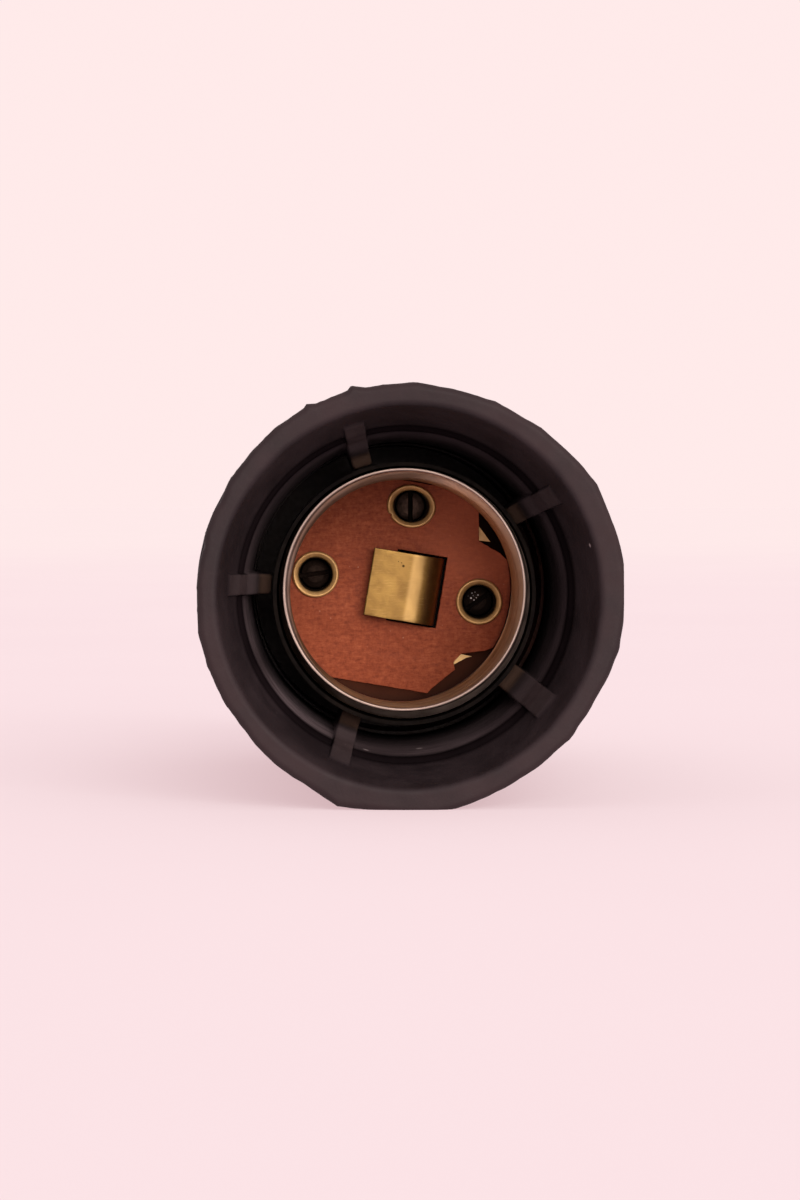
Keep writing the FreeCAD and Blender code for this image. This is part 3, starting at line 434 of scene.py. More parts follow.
def nickel_finish():
    """Thin nickel over brass: pale and pinkish at the rim, worn to tan on the wall, darker at the bottom, with painted
    shade on the left wall and behind the upper notch and a painted glint by the disc.
    """
    f = Finish("nickel_on_brass", Metallic=1.0)
    p = f.parts()
    y_mm = f.calc("MULTIPLY", p["Y"], 1000.0)
    cloud = f.noise(4.5, 3.0, 0.5, warp=0.3)
    fine = f.noise(0.8, 3.0, 0.6, vec=f.mapped(scale=(0.25, 1.0, 0.25)))
    col = f.mix(f.span(cloud, 0.35, 0.72), (0.730, 0.520, 0.380), (0.580, 0.390, 0.265))
    col = f.mix(f.calc("MULTIPLY", f.span(y_mm, 2.0, 1.2), 0.95), col, (0.800, 0.655, 0.575))
    col = f.mix(f.calc("MULTIPLY", f.span(y_mm, 0.42, 0.25), 0.98), col, (0.250, 0.192, 0.165))
    col = f.mix(f.span(y_mm, 7.5, 17.0, 0.0, 0.62), col, (0.150, 0.080, 0.045))
    # painted dark reflection on the left and upper wall
    left = f.span(f.calc("SUBTRACT", f.calc("MULTIPLY", p["X"], 1000.0), f.calc("MULTIPLY", p["Z"], 500.0)), 0.0, -6.0)
    col = f.mix(f.calc("MULTIPLY", f.calc("MULTIPLY", left, f.span(y_mm, 0.35, 0.9)), 0.76), col, (0.110, 0.075, 0.058))
    stain = f.calc("MULTIPLY", f.span(f.noise(1.3, 4.0, 0.6), 0.60, 0.76), f.span(y_mm, 1.0, 3.5))
    col = f.mix(f.calc("MULTIPLY", stain, 0.35), col, (0.160, 0.085, 0.050))
    col = f.mix(f.span(y_mm, 21.7, 22.3, 0.0, 0.97), col, (0.046, 0.0160, 0.0105))
    # painted shade behind the upper right notch
    notch_shade = f.calc("MULTIPLY", f.calc("MULTIPLY", f.span(y_mm, 21.7, 22.1), f.span(p["X"], 0.0050, 0.0062)), f.span(p["Z"], 0.0010, 0.0025))
    col = f.mix(f.calc("MULTIPLY", notch_shade, 0.95), col, (0.0085, 0.0045, 0.0038))
    # painted glint on the step just in front of the disc, on the right
    step = f.calc("MULTIPLY", f.span(y_mm, 20.9, 21.1), f.span(y_mm, 21.75, 21.55))
    near = f.calc("MULTIPLY", f.span(p["X"], 0.0075, 0.0105), f.span(p["Z"], 0.0065, 0.0045))
    col = f.mix(f.calc("MULTIPLY", f.calc("MULTIPLY", step, near), 0.95), col, (1.0, 0.74, 0.50))
    f.color(col)
    f.rough(f.span(f.calc("ADD", f.calc("MULTIPLY", fine, 0.5), f.calc("MULTIPLY", cloud, 0.5)), 0.32, 0.70, 0.38, 0.52))
    f.normal(f.bump(fine, 0.008, 0.5, f.bump(cloud, 0.04, 0.3)))
    return f.mat


def moulded_finish(name, dark, pale, rough=(0.4, 0.6), level=0.4, lit_side=False):
    f = Finish(name, Specular_IOR_Level=level)
    broad = f.noise(4.0, 4.0, 0.6, warp=0.5)
    fine = f.noise(0.5, 3.0, 0.6)
    col = f.mix(f.span(broad, 0.35, 0.68), dark, pale)
    if lit_side:
        # painted shade all round, left off on the right, where the moulding shows its own colour
        p = f.parts()
        unshaded = f.calc("MULTIPLY", f.span(p["X"], 0.0120, 0.0155), f.span(p["Y"], 0.030, 0.027))
        recess_shade = f.calc("MULTIPLY", f.calc("SUBTRACT", 1.0, unshaded), f.span(p["Y"], 0.036, 0.032))
        col = f.mix(f.calc("MULTIPLY", recess_shade, 0.90), col, (0.0090, 0.0064, 0.0058))
    f.color(col)
    f.rough(f.span(fine, 0.3, 0.7, *rough))
    f.normal(f.bump(fine, 0.03, 0.6))
    return f.mat


RUBBER = rubber_finish()
FIBRE = fibre_finish()
NICKEL = nickel_finish()
# the contact's finish carries a painted highlight stripe, painted darker stripes beside it and over the bend, and a
# painted reddish-brown shade on the bend and leg deeper in the window
CONTACT = brass_finish("contact_brass_painted_light", (0.290, 0.178, 0.052), (0.195, 0.112, 0.035), (0.440, 0.285, 0.105),
                       brush=(0.30, 1.0, 3.4), rough=(0.36, 0.52), tarnish=0.75,
                       marks=((0.62, 2.59, 0.09, 0.20), (0.42, 2.95, 0.03, 0.09), (0.05, 3.1, 0.03, 0.08)),
                       shade_from=(20.8, 22.6), dark=(0.330, 0.160, 0.085),
                       light_bands=((0.9, 1.5, 2.3, 2.9, 0.48, (0.600, 0.400, 0.155)), (-0.6, -0.1, 0.6, 1.1, 0.30, (0.215, 0.124, 0.040)),
                             (2.9, 3.5, 4.1, 4.6, 0.40, (0.160, 0.075, 0.035))))
# painted shade down the eyelets: deeper than 21.64 mm the brass goes over to near black
EYELET = brass_finish("eyelet_brass_dull", (0.660, 0.410, 0.160), (0.450, 0.270, 0.105), (0.800, 0.530, 0.240),
                      brush=(1.0, 1.0, 1.0), rough=(0.40, 0.58), seed=3.0, metal=0.55, shade_from=(21.64, 22.02),
                      dark=(0.012, 0.007, 0.004))
BRASS = brass_finish("sheet_brass", (0.62, 0.42, 0.19), (0.34, 0.20, 0.09), (0.80, 0.60, 0.33),
                     brush=(1.6, 1.0, 0.4), rough=(0.26, 0.44), seed=7.0)
STEEL = plain_metal("dull_screw_steel", (0.26, 0.20, 0.165), (0.13, 0.095, 0.080), (0.36, 0.55))
BASE = moulded_finish("red_brown_bakelite", (0.045, 0.012, 0.007), (0.095, 0.027, 0.015), level=0.15, lit_side=True)
SLEEVE = moulded_finish("varnished_paper", (0.0022, 0.0014, 0.0011), (0.0060, 0.0040, 0.0030), (0.6, 0.8), level=0.05)


def deep_screw_finish():
    """Slotted heads far down the eyelets: oxidised, darker down in the slot, with a few bright grains."""
    f = Finish("dark_screw_steel", Metallic=1.0)
    y_mm = f.calc("MULTIPLY", f.parts()["Y"], 1000.0)
    cloud = f.noise(0.9, 4.0, 0.6)
    fine = f.noise(0.2, 3.0, 0.6)
    col = f.mix(f.span(cloud, 0.35, 0.7), (0.088, 0.058, 0.044), (0.040, 0.026, 0.020))
    col = f.mix(f.span(y_mm, 24.56, 24.75, 0.0, 0.97), col, (0.004, 0.003, 0.002))
    # the head on the right is the darkest, the one on the left nearly as dark
    col = f.mix(f.span(f.radius(9.47, -1.60), 3.0, 2.2, 0.0, 0.85), col, (0.006, 0.0045, 0.0038))
    col = f.mix(f.span(f.radius(-9.47, 1.60), 3.0, 2.2, 0.0, 0.80), col, (0.008, 0.005, 0.004))
    for x, z, size in ((8.81, -0.67, 0.10), (9.16, -0.55, 0.07), (8.34, -1.02, 0.09), (9.51, -0.90, 0.08),
                       (8.69, -1.25, 0.11), (9.04, -1.48, 0.08), (8.95, -0.98, 0.05), (9.30, -1.22, 0.05)):
        col = f.mix(f.calc("MULTIPLY", f.spot(x, 24.5, z, size * 0.5, size * 1.2), 0.85), col, (0.62, 0.58, 0.58))
    f.color(col)
    f.rough(f.span(fine, 0.3, 0.7, 0.45, 0.65))
    f.normal(f.bump(fine, 0.012, 0.5))
    return f.mat


DEEP_SCREW = deep_screw_finish()

BY_SLOT = {"rubber": RUBBER, "nickel_shell": NICKEL, "sleeve": SLEEVE, "fibre": FIBRE, "brass": BRASS,
           "eyelet_brass": EYELET, "contact_brass": CONTACT, "base": BASE, "screw_steel": STEEL}
for node_name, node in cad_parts.items():
    for i, s in enumerate(node.material_slots):
        name = s.material.name.split(".")[0] if s.material else ""
        s.material = DEEP_SCREW if node_name.startswith("fixing_screw") else BY_SLOT.get(name, STEEL)


def dress(obj, material, body="holder", stands_for=()):
    obj.data.materials.clear()
    obj.data.materials.append(material)
    if body:
        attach(obj, body)
    if stands_for:
        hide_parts(*stands_for)
    return obj


# ---------------------------------------------------------------- rubber boot
# Corners of the lip's outline, as it has worn and been trimmed: degrees round from +X, radius.
LIP_CORNERS = [
    (-14.1, 22.62), (-7.0, 22.59), (-0.7, 22.79), (6.5, 22.78), (10.8, 22.70), (15.4, 22.70), (23.2, 22.66),
    (30.9, 22.86), (36.5, 22.69), (42.0, 22.52), (52.0, 22.42), (66.0, 22.24), (78.0, 22.16), (88.2, 22.42),
    (97.0, 22.24), (102.6, 22.33), (105.3, 22.86), (106.6, 22.44), (112.0, 22.30), (116.4, 22.37), (117.6, 22.82),
    (119.2, 22.45), (126.0, 22.42), (127.5, 22.47), (129.2, 22.42), (138.0, 22.31), (147.0, 22.27), (153.0, 21.95),
    (156.5, 22.17), (159.0, 22.16), (163.0, 22.25), (166.0, 21.96), (171.0, 22.12), (176.0, 22.10), (183.0, 22.00),
    (190.0, 22.22), (199.0, 22.18), (210.0, 22.16), (224.0, 22.18), (231.0, 22.31), (237.0, 22.36), (241.8, 22.37),
    (251.0, 23.11), (256.8, 22.71), (262.0, 22.57), (267.0, 22.60), (273.4, 22.75), (278.1, 22.78), (283.0, 22.61),
    (285.0, 22.56), (288.0, 22.45), (291.0, 22.40), (298.7, 22.29), (308.0, 22.33), (316.5, 22.34), (319.2, 22.58),
    (322.0, 22.26), (327.0, 22.30), (337.8, 22.42), (345.9, 22.62),
]
LIP_DEG = np.array([c[0] for c in LIP_CORNERS] + [LIP_CORNERS[1][0] + 360])
LIP_R = np.array([c[1] for c in LIP_CORNERS] + [LIP_CORNERS[1][1]])


def lip_outline(theta):
    deg = math.degrees(theta) % 360.0
    if deg > LIP_DEG[-1]:
        deg -= 360.0
    k = int(np.searchsorted(LIP_DEG, deg, side="right")) - 1
    k = max(0, min(len(LIP_DEG) - 2, k))
    a0, a1 = math.radians(LIP_DEG[k]), math.radians(LIP_DEG[k + 1])
    a = math.radians(deg)
    r0, r1 = LIP_R[k], LIP_R[k + 1]
    # straight edge from corner to corner
    x0, y0, x1, y1 = r0 * math.cos(a0), r0 * math.sin(a0), r1 * math.cos(a1), r1 * math.sin(a1)
    dx, dy = x1 - x0, y1 - y0
    den = math.cos(a) * dy - math.sin(a) * dx
    if abs(den) < 1e-9:
        return r0
    return (x0 * dy - y0 * dx) / den


RIBS = [(34.5, 2.30), (107.5, 2.30), (176.5, 2.30), (247.5, 2.35), (321.5, 3.15)]
RIB_Y = [-8.1, -7.75, -7.25, 5.0, 6.4, 15.4, 17.1, 17.4]
RIB_R = [19.75, 19.30, 18.70, 15.55, 14.47, 14.47, 16.93, 17.6]


def rib_radius(y):
    total, n = 0.0, 0
    for k in range(-3, 4):
        total += table_at(y + k * 0.09, RIB_Y, RIB_R)
        n += 1
    return total / n


# around each rib: sideways offsets from its edge, and how much of its height stands there
EDGE = [(0.16, 0.0), (0.07, 0.05), (0.02, 0.40), (-0.04, 0.80), (-0.12, 0.94), (-0.28, 0.99), (-0.50, 1.0)]


def boot_columns():
    """(fixed angle or None, rib index, sideways millimetres, rib share) for every column, in order."""
    cols = []
    spans = []
    for k, (deg, width) in enumerate(RIBS):
        h = width / 2
        offs = [(-(h + e), s) for e, s in EDGE] + [(-0.25 * h, 1.0), (0.25 * h, 1.0)] + [(h + e, s) for e, s in EDGE[::-1]]
        spans.append((math.radians(deg), offs))
    for k, (mid, offs) in enumerate(spans):
        for off, share in offs:
            cols.append((None, k, off, share))
        nxt = spans[(k + 1) % len(spans)]
        a0 = mid + (offs[-1][0] + 0.25) / 15.5
        a1 = nxt[0] + (2 * math.pi if k == len(spans) - 1 else 0) + (nxt[1][0][0] - 0.25) / 15.5
        n = int(round((a1 - a0) / math.radians(1.18)))
        for i in range(n + 1):
            cols.append((lerp(a0, a1, i / n), None, 0.0, 0.0))
    return cols


OUTER = [(4.0, 77.0, 0), (8.2, 77.0, 1.0), (9.6, 61.5, 3.0), (20.6, 53.0, 4.0), (22.40, 37.0, 14.0), (22.40, -3.6, 0.35),
         (21.7, -4.6, 0.5), (21.7, -7.4, 0.5), (22.42, -8.4, 0.6), (22.42, -12.0, 0.75), (20.0, -12.0, 0.70),
         (18.0, -3.0, 0.35), (18.42, -2.75, 0.25), (18.40, -2.05, 0.45), (17.62, -1.75, 0.85), (16.63, 8.0, 3.0),
         (16.63, 17.4, 0.3), (17.7, 18.6, 0.3), (17.7, 31.25, 0.2), (15.2, 31.25, 0.2), (15.2, 52.8, 1.5),
         (4.0, 57.0, 0.5), (4.0, 77.0, 0)]


def boot_step(r, y):
    if y > 58 and r < 5:
        return 4.0
    if y > 18.5 and r < 18.0:
        return 4.0
    if r > 19.9 and y < -8.0:
        return 0.20
    if y < 18.0 and r < 19.9:
        return 0.34
    if r > 20 and y > -3.6:
        return 1.6
    return 0.8


def build_boot():
    line = filled(rounded(OUTER, 7), boot_step)
    line = line[:-1]
    cols = boot_columns()
    # index of the innermost lip corner splits outside from inside
    front = min(range(len(line)), key=lambda i: line[i][1] + 0.001 * line[i][0])
    verts = []
    rib_top_share = []
    for j, (r, y) in enumerate(line):
        inside = j > front and r < 20.6
        ribbed = inside and -8.0 < y < 17.3
        rr = rib_radius(y) if ribbed else 99.0
        proud = max(0.0, r - rr)
        for ang, k, off, share in cols:
            if ang is None:
                mid = math.radians(RIBS[k][0])
                ref = (r - proud * share) if ribbed else min(max(r, 14.0), 19.0)
                ang = mid + math.asin(max(-0.9, min(0.9, off / ref)))
                rad = r - proud * share
            else:
                rad = r
            # the outline of the lip, and its lumps, die away at the bore and behind the waist
            if not inside and r > 17.0:
                x0, z0 = r * math.cos(ang), r * math.sin(ang)
                edge = smooth(20.1, 21.9, r)
                near = 1.0 - smooth(-8.2, -5.0, y)
                rad += (lip_outline(ang) - 22.42) * edge * (0.18 + 0.82 * near)
                rad += 0.055 * wobble(x0, y, z0, 1.1, 3.0) * edge * near
                ragged = smooth(0.3, -0.6, x0 / 22.4) * smooth(-0.9, -0.4, z0 / 22.4)
                rad += 0.075 * wobble(x0, y * 0.5, z0, 0.55, 14.0) * edge * near * (0.25 + 0.75 * ragged)
                rad += 0.06 * wobble(x0, y, z0, 6.0, 9.0) * smooth(17, 19, r)
                if r > 20.5 and y > -3.6:
                    rad = min(rad, r)
            yy = y
            if r > 19.9 and y < -10.5:
                x0, z0 = rad * math.cos(ang), rad * math.sin(ang)
                yy += 0.10 * max(0.0, wobble(x0, 0.0, z0, 5.0, 21.0)) + 0.03 * max(0.0, wobble(x0, 0.0, z0, 1.3, 5.0))
            if inside and r > 16.0 and y < 17.0 and (share == 0.0):
                x0, z0 = r * math.cos(ang), r * math.sin(ang)
                rad += 0.035 * wobble(x0, y, z0, 4.0, 31.0)
            x, z = rad * math.cos(ang), rad * math.sin(ang)
            x = min(max(x, BOX_LO[0]), BOX_HI[0])
            z = min(max(z, LOW_Z), BOX_HI[2])
            verts.append((x, max(yy, -12.0), z))
            rib_top_share.append(smooth(0.75, 0.97, share) * smooth(0.05, 0.45, proud))
    faces = ring_faces(len(line), len(cols), closed_rows=True)
    ob = mesh_object("rubber_boot_skin", verts, faces, sharp_deg=50)
    ob.data.attributes.new("rib_top", "FLOAT", "POINT").data.foreach_set("value", rib_top_share)
    return dress(ob, RUBBER, stands_for=["rubber_boot"])


boot = build_boot()


# ---------------------------------------------------------------- centre contact
def build_contact():
    """One strip, 0.45 thick: flat tongue, bend, and a leg that runs back into the base."""
    left, low, top = -3.45, -3.63, 4.20
    thick, bend, leg, face = 0.45, 2.0, 4.85, 20.0
    # the tongue eases into its bend, tighter and tighter, and leaves it square
    cx = 0.3
    path = [(left + (cx - left) * i / 22, face, 0.0) for i in range(23)]
    fine, x, y = 600, 0.0, 0.0
    for i in range(fine):
        a = math.pi / 2 * ((i + 0.5) / fine) ** 2
        x += math.cos(a) / fine
        y += math.sin(a) / fine
    length = (leg - cx) / x
    x, y = cx, face
    for i in range(fine):
        a = math.pi / 2 * ((i + 0.5) / fine) ** 2
        x += math.cos(a) * length / fine
        y += math.sin(a) * length / fine
        if (i + 1) % 25 == 0:
            path.append((x, y, math.pi / 2 * ((i + 1) / fine) ** 2))
    path += [(leg, lerp(y, 38.0, i / 20), math.radians(90)) for i in range(1, 21)]
    # cross-section across the width: rounded edges
    edge = 0.07
    ring = []
    for i in range(25):
        t = i / 24
        v = lerp(low + edge, top - edge, t)
        ring.append((v, 0.0))
    sec = []
    n = 5
    for i in range(25):
        sec.append((lerp(low + edge, top - edge, i / 24), 0.0))
    for i in range(1, n):
        a = math.radians(90 * i / n)
        sec.append((top - edge + edge * math.sin(a), edge * (1 - math.cos(a))))
    sec.append((top, edge))
    sec.append((top, thick - edge))
    for i in range(1, n):
        a = math.radians(90 * i / n)
        sec.append((top - edge + edge * math.cos(a), thick - edge + edge * math.sin(a)))
    for i in range(13):
        sec.append((lerp(top - edge, low + edge, i / 12), thick))
    for i in range(1, n):
        a = math.radians(90 * i / n)
        sec.append((low + edge - edge * math.sin(a), thick - edge + edge * math.cos(a)))
    sec.append((low, thick - edge))
    sec.append((low, edge))
    for i in range(1, n):
        a = math.radians(90 * i / n)
        sec.append((low + edge - edge * math.cos(a), edge - edge * math.sin(a)))
    cols = len(sec)
    verts = []
    for x, y, a in path:
        for v, d in sec:
            px = x - d * math.sin(a)
            py = y + d * math.cos(a)
            py += 0.035 * wobble(px, 0.0, v, 3.0, 12.0) * (1 - a / 1.6)
            wx, wz = core_xy(px, v)
            verts.append((wx, max(py, 20.0), wz))
    faces = ring_faces(len(path), cols)
    # ends, drawn in a little so that their edges are round too
    for k, (base, into) in enumerate(((0, -1), (len(path) - 1, 1))):
        x, y, a = path[base]
        tx, ty = math.cos(a) * into, math.sin(a) * into
        first = len(verts)
        mid_v, mid_d = (low + top) / 2, thick / 2
        for v, d in sec:
            vv = mid_v + (v - mid_v) * (1 - edge * 0.9 / (top - mid_v))
            dd = mid_d + (d - mid_d) * (1 - edge * 0.9 / mid_d)
            px = x - dd * math.sin(a) + tx * 0.0
            py = y + dd * math.cos(a)
            wx, wz = core_xy(px, vv)
            verts.append((wx, py, wz))
        # move the outermost ring in by the edge's radius
        for i in range(cols):
            b = base * cols + i
            vx, vy, vz = verts[b]
            ox, oz = core_xy(-tx * edge, 0.0)
            verts[b] = (vx + ox, vy - ty * edge, vz + oz)
        for i in range(cols):
            kx = (i + 1) % cols
            q = (base * cols + i, base * cols + kx, first + kx, first + i)
            faces.append(q[::-1] if into < 0 else q)
        cap = [first + i for i in range(cols)]
        faces.append(cap if into < 0 else cap[::-1])
    ob = mesh_object("contact_strip", verts, faces, sharp_deg=40)
    ob.data.materials.append(CONTACT)
    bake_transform(ob)
    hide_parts("centre_contact")
    return ob


contact = build_contact()


# ---------------------------------------------------------------- eyelets
def build_eyelet(where, deg, wide=1.0, tall=1.0, nick=None, seed=0.0):
    """Turned-over brass eyelet: a rounded rim, a wide soft funnel and a tube."""
    prof = rounded([(2.30, 26.4, 0), (2.30, 22.0, 0.05), (2.62, 22.0, 0.08), (2.70, 21.80, 0.12), (2.58, 21.52, 0.16),
                    (2.42, 21.50, 0.30), (1.98, 21.74, 0.45), (1.86, 22.60, 0.5), (1.86, 26.0, 0), (1.35, 26.0, 0), (1.35, 26.4, 0)], 8)
    prof = filled(prof, lambda r, y: 0.10 if y < 23.4 else 0.8)
    a = math.radians(deg)
    cx, cz = core_xy(9.6 * math.cos(a), 9.6 * math.sin(a))
    n = 128
    verts = []
    for r, y in prof:
        head = 1.0 - smooth(21.95, 22.6, y)
        for i in range(n):
            t = 2 * math.pi * i / n
            rr = r
            if y < 23.0:
                rr += 0.028 * wobble(3 * math.cos(t), y, 3 * math.sin(t), 2.0, seed)
            yy = y
            if y < 21.9:
                yy += 0.03 * (1 + wobble(3 * math.cos(t), 0, 3 * math.sin(t), 1.6, seed + 4))
            if nick is not None and r > 2.3 and y < 22.2:
                d = abs((math.degrees(t) - nick + 180) % 360 - 180)
                rr -= 0.17 * (1 - smooth(0, 7.5, d))
            # the head is spread more one way than the other
            ex = rr * math.cos(t) * lerp(1.0, wide, head)
            ez = rr * math.sin(t) * lerp(1.0, tall, head)
            tx, tz = core_xy(ex, ez)
            verts.append((cx + tx, yy, cz + tz))
    faces = ring_faces(len(prof), n, closed_rows=True)
    ob = mesh_object("eyelet_rim_" + where, verts, faces, sharp_deg=50)
    return dress(ob, EYELET, stands_for=["eyelet_" + where])


build_eyelet("right", 0.0, seed=1.0)
build_eyelet("top", 90.0, wide=1.06, tall=0.93, nick=215.0, seed=2.0)
build_eyelet("left", 180.0, seed=3.5)


# ---------------------------------------------------------------- fibre disc
def plate_object(name, loops, y_front, thick, edge, material, node, wave=0.0):
    """A flat sheet with holes from its outlines, with softly rounded edges. Loops are in the core's frame."""
    cu = bpy.data.curves.new(name, "CURVE")
    cu.dimensions = "2D"
    cu.fill_mode = "BOTH"
    cu.extrude = (thick / 2 - edge) * MM
    cu.bevel_depth = edge * MM
    cu.bevel_resolution = 2
    cu.offset = -edge * MM
    for loop in loops:
        sp = cu.splines.new("POLY")
        sp.points.add(len(loop) - 1)
        sp.points.foreach_set("co", [c for x, z in loop for c in (x * MM, z * MM, 0.0, 1.0)])
        sp.use_cyclic_u = True
    tmp = bpy.data.objects.new(name + "_outline", cu)
    scene.collection.objects.link(tmp)
    bpy.context.view_layer.update()
    dg = bpy.context.evaluated_depsgraph_get()
    me = bpy.data.meshes.new_from_object(tmp.evaluated_get(dg))
    bpy.data.objects.remove(tmp)
    me.name = name
    co = np.zeros(len(me.vertices) * 3)
    me.vertices.foreach_get("co", co)
    co = co.reshape(-1, 3)
    x, z, d = co[:, 0].copy(), co[:, 1].copy(), co[:, 2].copy()
    c, s = math.cos(CORE_TURN), math.sin(CORE_TURN)
    co[:, 0] = x * c - z * s
    co[:, 2] = x * s + z * c
    co[:, 1] = (y_front + thick / 2) * MM - d
    me.vertices.foreach_set("co", co.ravel())
    import bmesh
    bm = bmesh.new()
    bm.from_mesh(me)
    bmesh.ops.remove_doubles(bm, verts=bm.verts, dist=2e-6)
    bmesh.ops.recalc_face_normals(bm, faces=bm.faces)
    bm.to_mesh(me)
    bm.free()
    me.polygons.foreach_set("use_smooth", [True] * len(me.polygons))
    me.set_sharp_from_angle(angle=math.radians(35))
    ob = bpy.data.objects.new(name, me)
    scene.collection.objects.link(ob)
    if node is None:
        return ob
    return dress(ob, material, stands_for=[node])


def circle_loop(cx, cz, r, n, ragged=0.0, seed=0.0):
    out = []
    for i in range(n):
        t = 2 * math.pi * i / n
        rr = r + ragged * wobble(r * math.cos(t), 0, r * math.sin(t), 0.5, seed)
        out.append((cx + rr * math.cos(t), cz + rr * math.sin(t)))
    return out


def finely(poly, step):
    out = []
    for a, b in zip(poly, poly[1:] + poly[:1]):
        n = max(1, math.ceil(math.hypot(b[0] - a[0], b[1] - a[1]) / step))
        out += [(lerp(a[0], b[0], k / n), lerp(a[1], b[1], k / n)) for k in range(n)]
    return out


def rough_edge(poly, amount, seed, size=0.45):
    """Moves each point of an outline sideways a little, as a punch leaves fibre board."""
    out = []
    n = len(poly)
    for i, (x, z) in enumerate(poly):
        x0, z0 = poly[i - 1]
        x1, z1 = poly[(i + 1) % n]
        tx, tz = x1 - x0, z1 - z0
        d = math.hypot(tx, tz) or 1.0
        w = amount * wobble(x, 0.0, z, size, seed)
        out.append((x - tz / d * w, z + tx / d * w))
    return out


def disc_outline():
    R = 13.12
    pts = []
    start, end = math.asin(-4.98 / R), math.asin(5.30 / R)
    # right side, between the two notches
    for i in range(40):
        t = lerp(start, end, i / 39)
        pts.append((R * math.cos(t), R * math.sin(t)))
    # upper notch
    pts += [(11.04, 5.98), (8.41, 6.94), (7.85, 10.25)]
    t0, t1 = math.asin(10.5 / R), math.acos(-math.sqrt(R * R - 12.43 ** 2) / R)
    x_top = math.sqrt(R * R - 12.43 ** 2)
    t_top = math.atan2(12.43, x_top)
    for i in range(1, 8):
        t = lerp(t0, t_top, i / 7)
        pts.append((R * math.cos(t), R * math.sin(t)))
    pts.append((-x_top, 12.43))
    t_a = math.atan2(12.43, -x_top)
    x_low = math.sqrt(R * R - 11.46 ** 2)
    t_b = math.atan2(-11.46, -x_low) + 2 * math.pi
    n = 210
    for i in range(1, n + 1):
        t = lerp(t_a, t_b, i / n)
        pts.append((R * math.cos(t), R * math.sin(t)))
    pts += [(5.5, -11.46), (5.75, -10.95), (8.16, -8.25), (7.86, -7.47), (8.54, -6.31), (11.2, -5.5)]
    return pts


disc_loops = [rough_edge(finely(disc_outline(), 0.22), 0.045, 4.0)]
disc_loops.append(rough_edge(finely([(-0.70, -3.90), (5.17, -3.90), (5.17, 4.45), (-0.70, 4.45)], 0.25), 0.035, 8.0))
for deg in (0, 90, 180):
    a = math.radians(deg)
    disc_loops.append(circle_loop(9.6 * math.cos(a), 9.6 * math.sin(a), 2.35, 72, 0.02, deg))
disc = plate_object("fibre_disc_board", disc_loops, 22.0, 1.0, 0.07, FIBRE, "fibre_disc")


# ---------------------------------------------------------------- screw shell
def wall_in(theta, y):
    """Inside radius of the rolled wall: the lamp thread, running out into the cup."""
    wave = 12.85 + 0.45 * math.cos(-2 * math.pi * y / 3.629 - theta + math.radians(97.0))
    return lerp(wave, 13.32, smooth(12.5, 15.9, y))


def build_shell():
    sheet = 0.32
    # down the inside, round the bottom and back up the outside: (share of the sheet, fixed radius or None, y)
    rim = [(0.0, 0.17), (0.03, 0.085), (0.10, 0.028), (0.22, 0.004), (0.38, 0.0), (0.62, 0.0), (0.78, 0.004), (0.90, 0.028),
           (0.97, 0.085), (1.0, 0.17)]
    rows = [(sh, None, y) for sh, y in rim[::-1]]
    y = 0.30
    while y < 16.0:
        rows.append((0.0, None, y))
        y += 0.13
    rows += [(0.0, None, v) for v in (16.6, 17.4, 18.4, 19.4, 20.4, 21.1)]
    rows += [(None, r, v) for r, v in ((13.31, 21.22), (13.27, 21.28), (13.21, 21.31), (13.19, 21.37), (13.19, 21.5),
                                       (13.21, 21.8), (13.25, 22.3), (13.25, 23.6), (13.30, 23.9), (13.70, 23.9), (13.75, 23.85),
                                       (13.75, 20.7), (13.70, 20.6))]
    rows += [(1.0, None, v) for v in (20.3, 18.5, 17.0, 16.0)]
    y = 15.7
    while y > 0.5:
        rows.append((1.0, None, y))
        y -= 0.33
    n = 288
    verts = []
    for share, fixed, y in rows:
        for i in range(n):
            t = 2 * math.pi * i / n
            r = fixed if fixed is not None else wall_in(t, y) + share * sheet
            cx, cz = r * math.cos(t), r * math.sin(t)
            r += 0.014 * wobble(cx, y, cz, 5.0, 41.0)
            yy = y
            if y < 1.2:
                yy += 0.035 * (1 + wobble(cx, 0.0, cz, 2.4, 17.0)) * (1 - y / 1.2)
            verts.append((r * math.cos(t), yy, r * math.sin(t)))
    faces = ring_faces(len(rows), n, closed_rows=True, flip=True)
    ob = mesh_object("screw_shell_rolled", verts, faces, sharp_deg=60)
    # its floor, with room for the contact's leg and the screws
    loops = [circle_loop(0.0, 0.0, 13.4, 180)]
    loops.append([(-1.0, -4.20), (5.47, -4.20), (5.47, 4.75), (-1.0, 4.75)])
    for deg in (0, 90, 180):
        a = math.radians(deg)
        loops.append(circle_loop(9.6 * math.cos(a), 9.6 * math.sin(a), 2.4, 48))
    base = plate_object("screw_shell_floor", loops, 23.5, 0.4, 0.03, NICKEL, None)
    import bmesh
    bm = bmesh.new()
    bm.from_mesh(ob.data)
    bm.from_mesh(base.data)
    bm.to_mesh(ob.data)
    bm.free()
    bpy.data.objects.remove(base)
    ob.data.polygons.foreach_set("use_smooth", [True] * len(ob.data.polygons))
    ob.data.set_sharp_from_angle(angle=math.radians(45))
    return dress(ob, NICKEL, stands_for=["screw_shell"])


shell = build_shell()


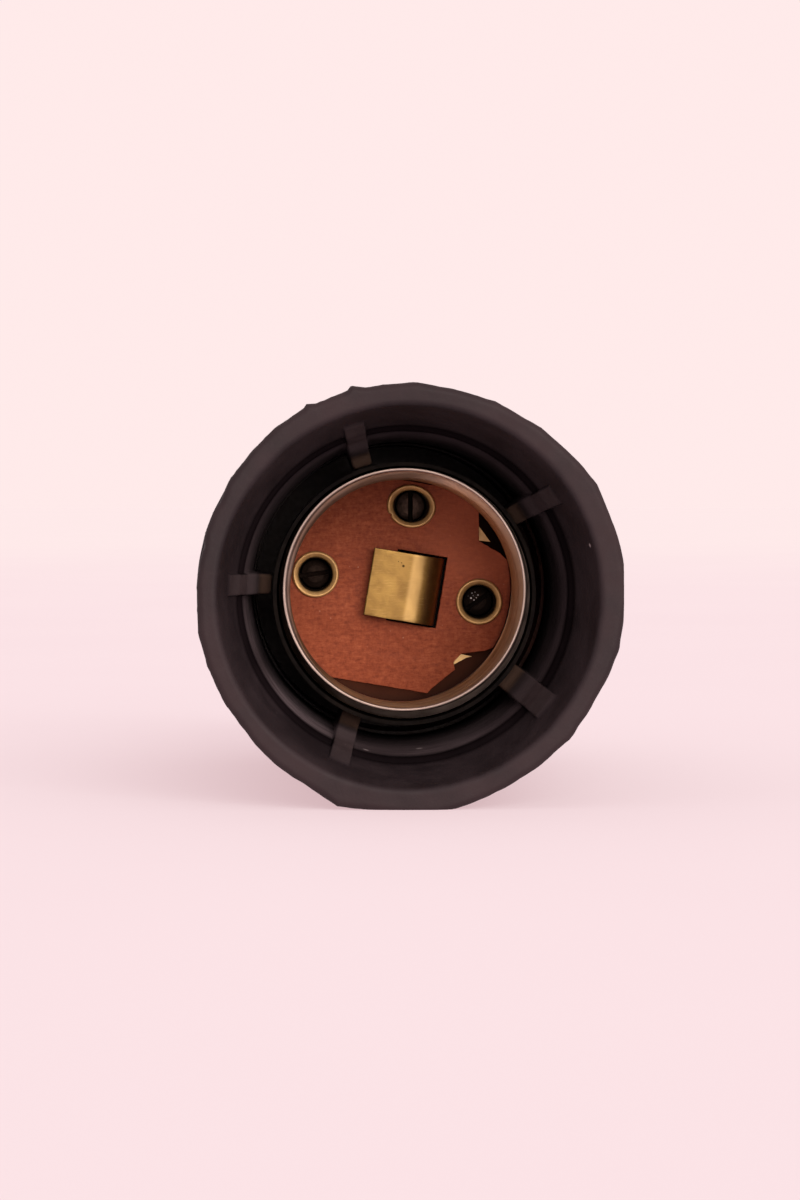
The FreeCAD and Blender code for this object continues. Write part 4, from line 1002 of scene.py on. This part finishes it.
# ---------------------------------------------------------------- floor, light
floor_mat = Finish("pale_floor", Specular_IOR_Level=0.0, Roughness=0.9, Emission_Strength=1.0)
soft = floor_mat.noise(90.0, 3.0, 0.5)
floor_mat.color(floor_mat.mix(floor_mat.span(soft, 0.3, 0.7), (0.250, 0.290, 0.300), (0.245, 0.283, 0.294)))
floor_mat.normal(floor_mat.bump(floor_mat.noise(1.2, 3.0, 0.5), 0.01, 0.2))
fp = floor_mat.parts()
away = floor_mat.calc("SQRT", floor_mat.calc("ADD", floor_mat.calc("MULTIPLY", fp["X"], fp["X"]),
                                             floor_mat.calc("MULTIPLY", fp["Y"], fp["Y"])))
floor_mat.put(floor_mat.bsdf.inputs["Emission Color"],
              floor_mat.mix(floor_mat.span(away, 0.15, 2.2), (0.634, 0.440, 0.460), (0.660, 0.4925, 0.486)))
n = 96
fv, ff = [(0.0, 35.0, LOW_Z - 0.02)], []
radii = [60, 160, 400, 1000, 2600, 7000, 30000]
for r in radii:
    for i in range(n):
        t = 2 * math.pi * i / n
        fv.append((r * math.cos(t), 35.0 + r * math.sin(t), LOW_Z - 0.02))
for i in range(n):
    ff.append((0, 1 + i, 1 + (i + 1) % n))
for j in range(len(radii) - 1):
    for i in range(n):
        a, b = 1 + j * n, 1 + (j + 1) * n
        ff.append((a + i, b + i, b + (i + 1) % n, a + (i + 1) % n))
floor = mesh_object("studio_floor", fv, ff)
floor.data.materials.append(floor_mat.mat)

world = bpy.data.worlds.new("studio")
scene.world = world
world.use_nodes = True
wnt = world.node_tree
wnt.nodes.clear()
wout = wnt.nodes.new("ShaderNodeOutputWorld")
wbg = wnt.nodes.new("ShaderNodeBackground")
wbg.inputs["Color"].default_value = (1.0, 0.826, 0.822, 1.0)
wbg.inputs["Strength"].default_value = 1.0
wnt.links.new(wbg.outputs[0], wout.inputs[0])

sun_data = bpy.data.lights.new("soft_key", "SUN")
sun_data.energy = 3.3
sun_data.angle = math.radians(50)
sun_data.color = (1.0, 0.90, 0.84)
sun = bpy.data.objects.new("soft_key", sun_data)
scene.collection.objects.link(sun)
toward = Vector((0.34, -0.88, 0.34)).normalized()
sun.rotation_mode = "QUATERNION"
sun.rotation_quaternion = toward.to_track_quat("Z", "Y")

scene.view_settings.view_transform = "Standard"
scene.view_settings.look = "None"
scene.view_settings.exposure = 0.0
scene.view_settings.gamma = 1.0
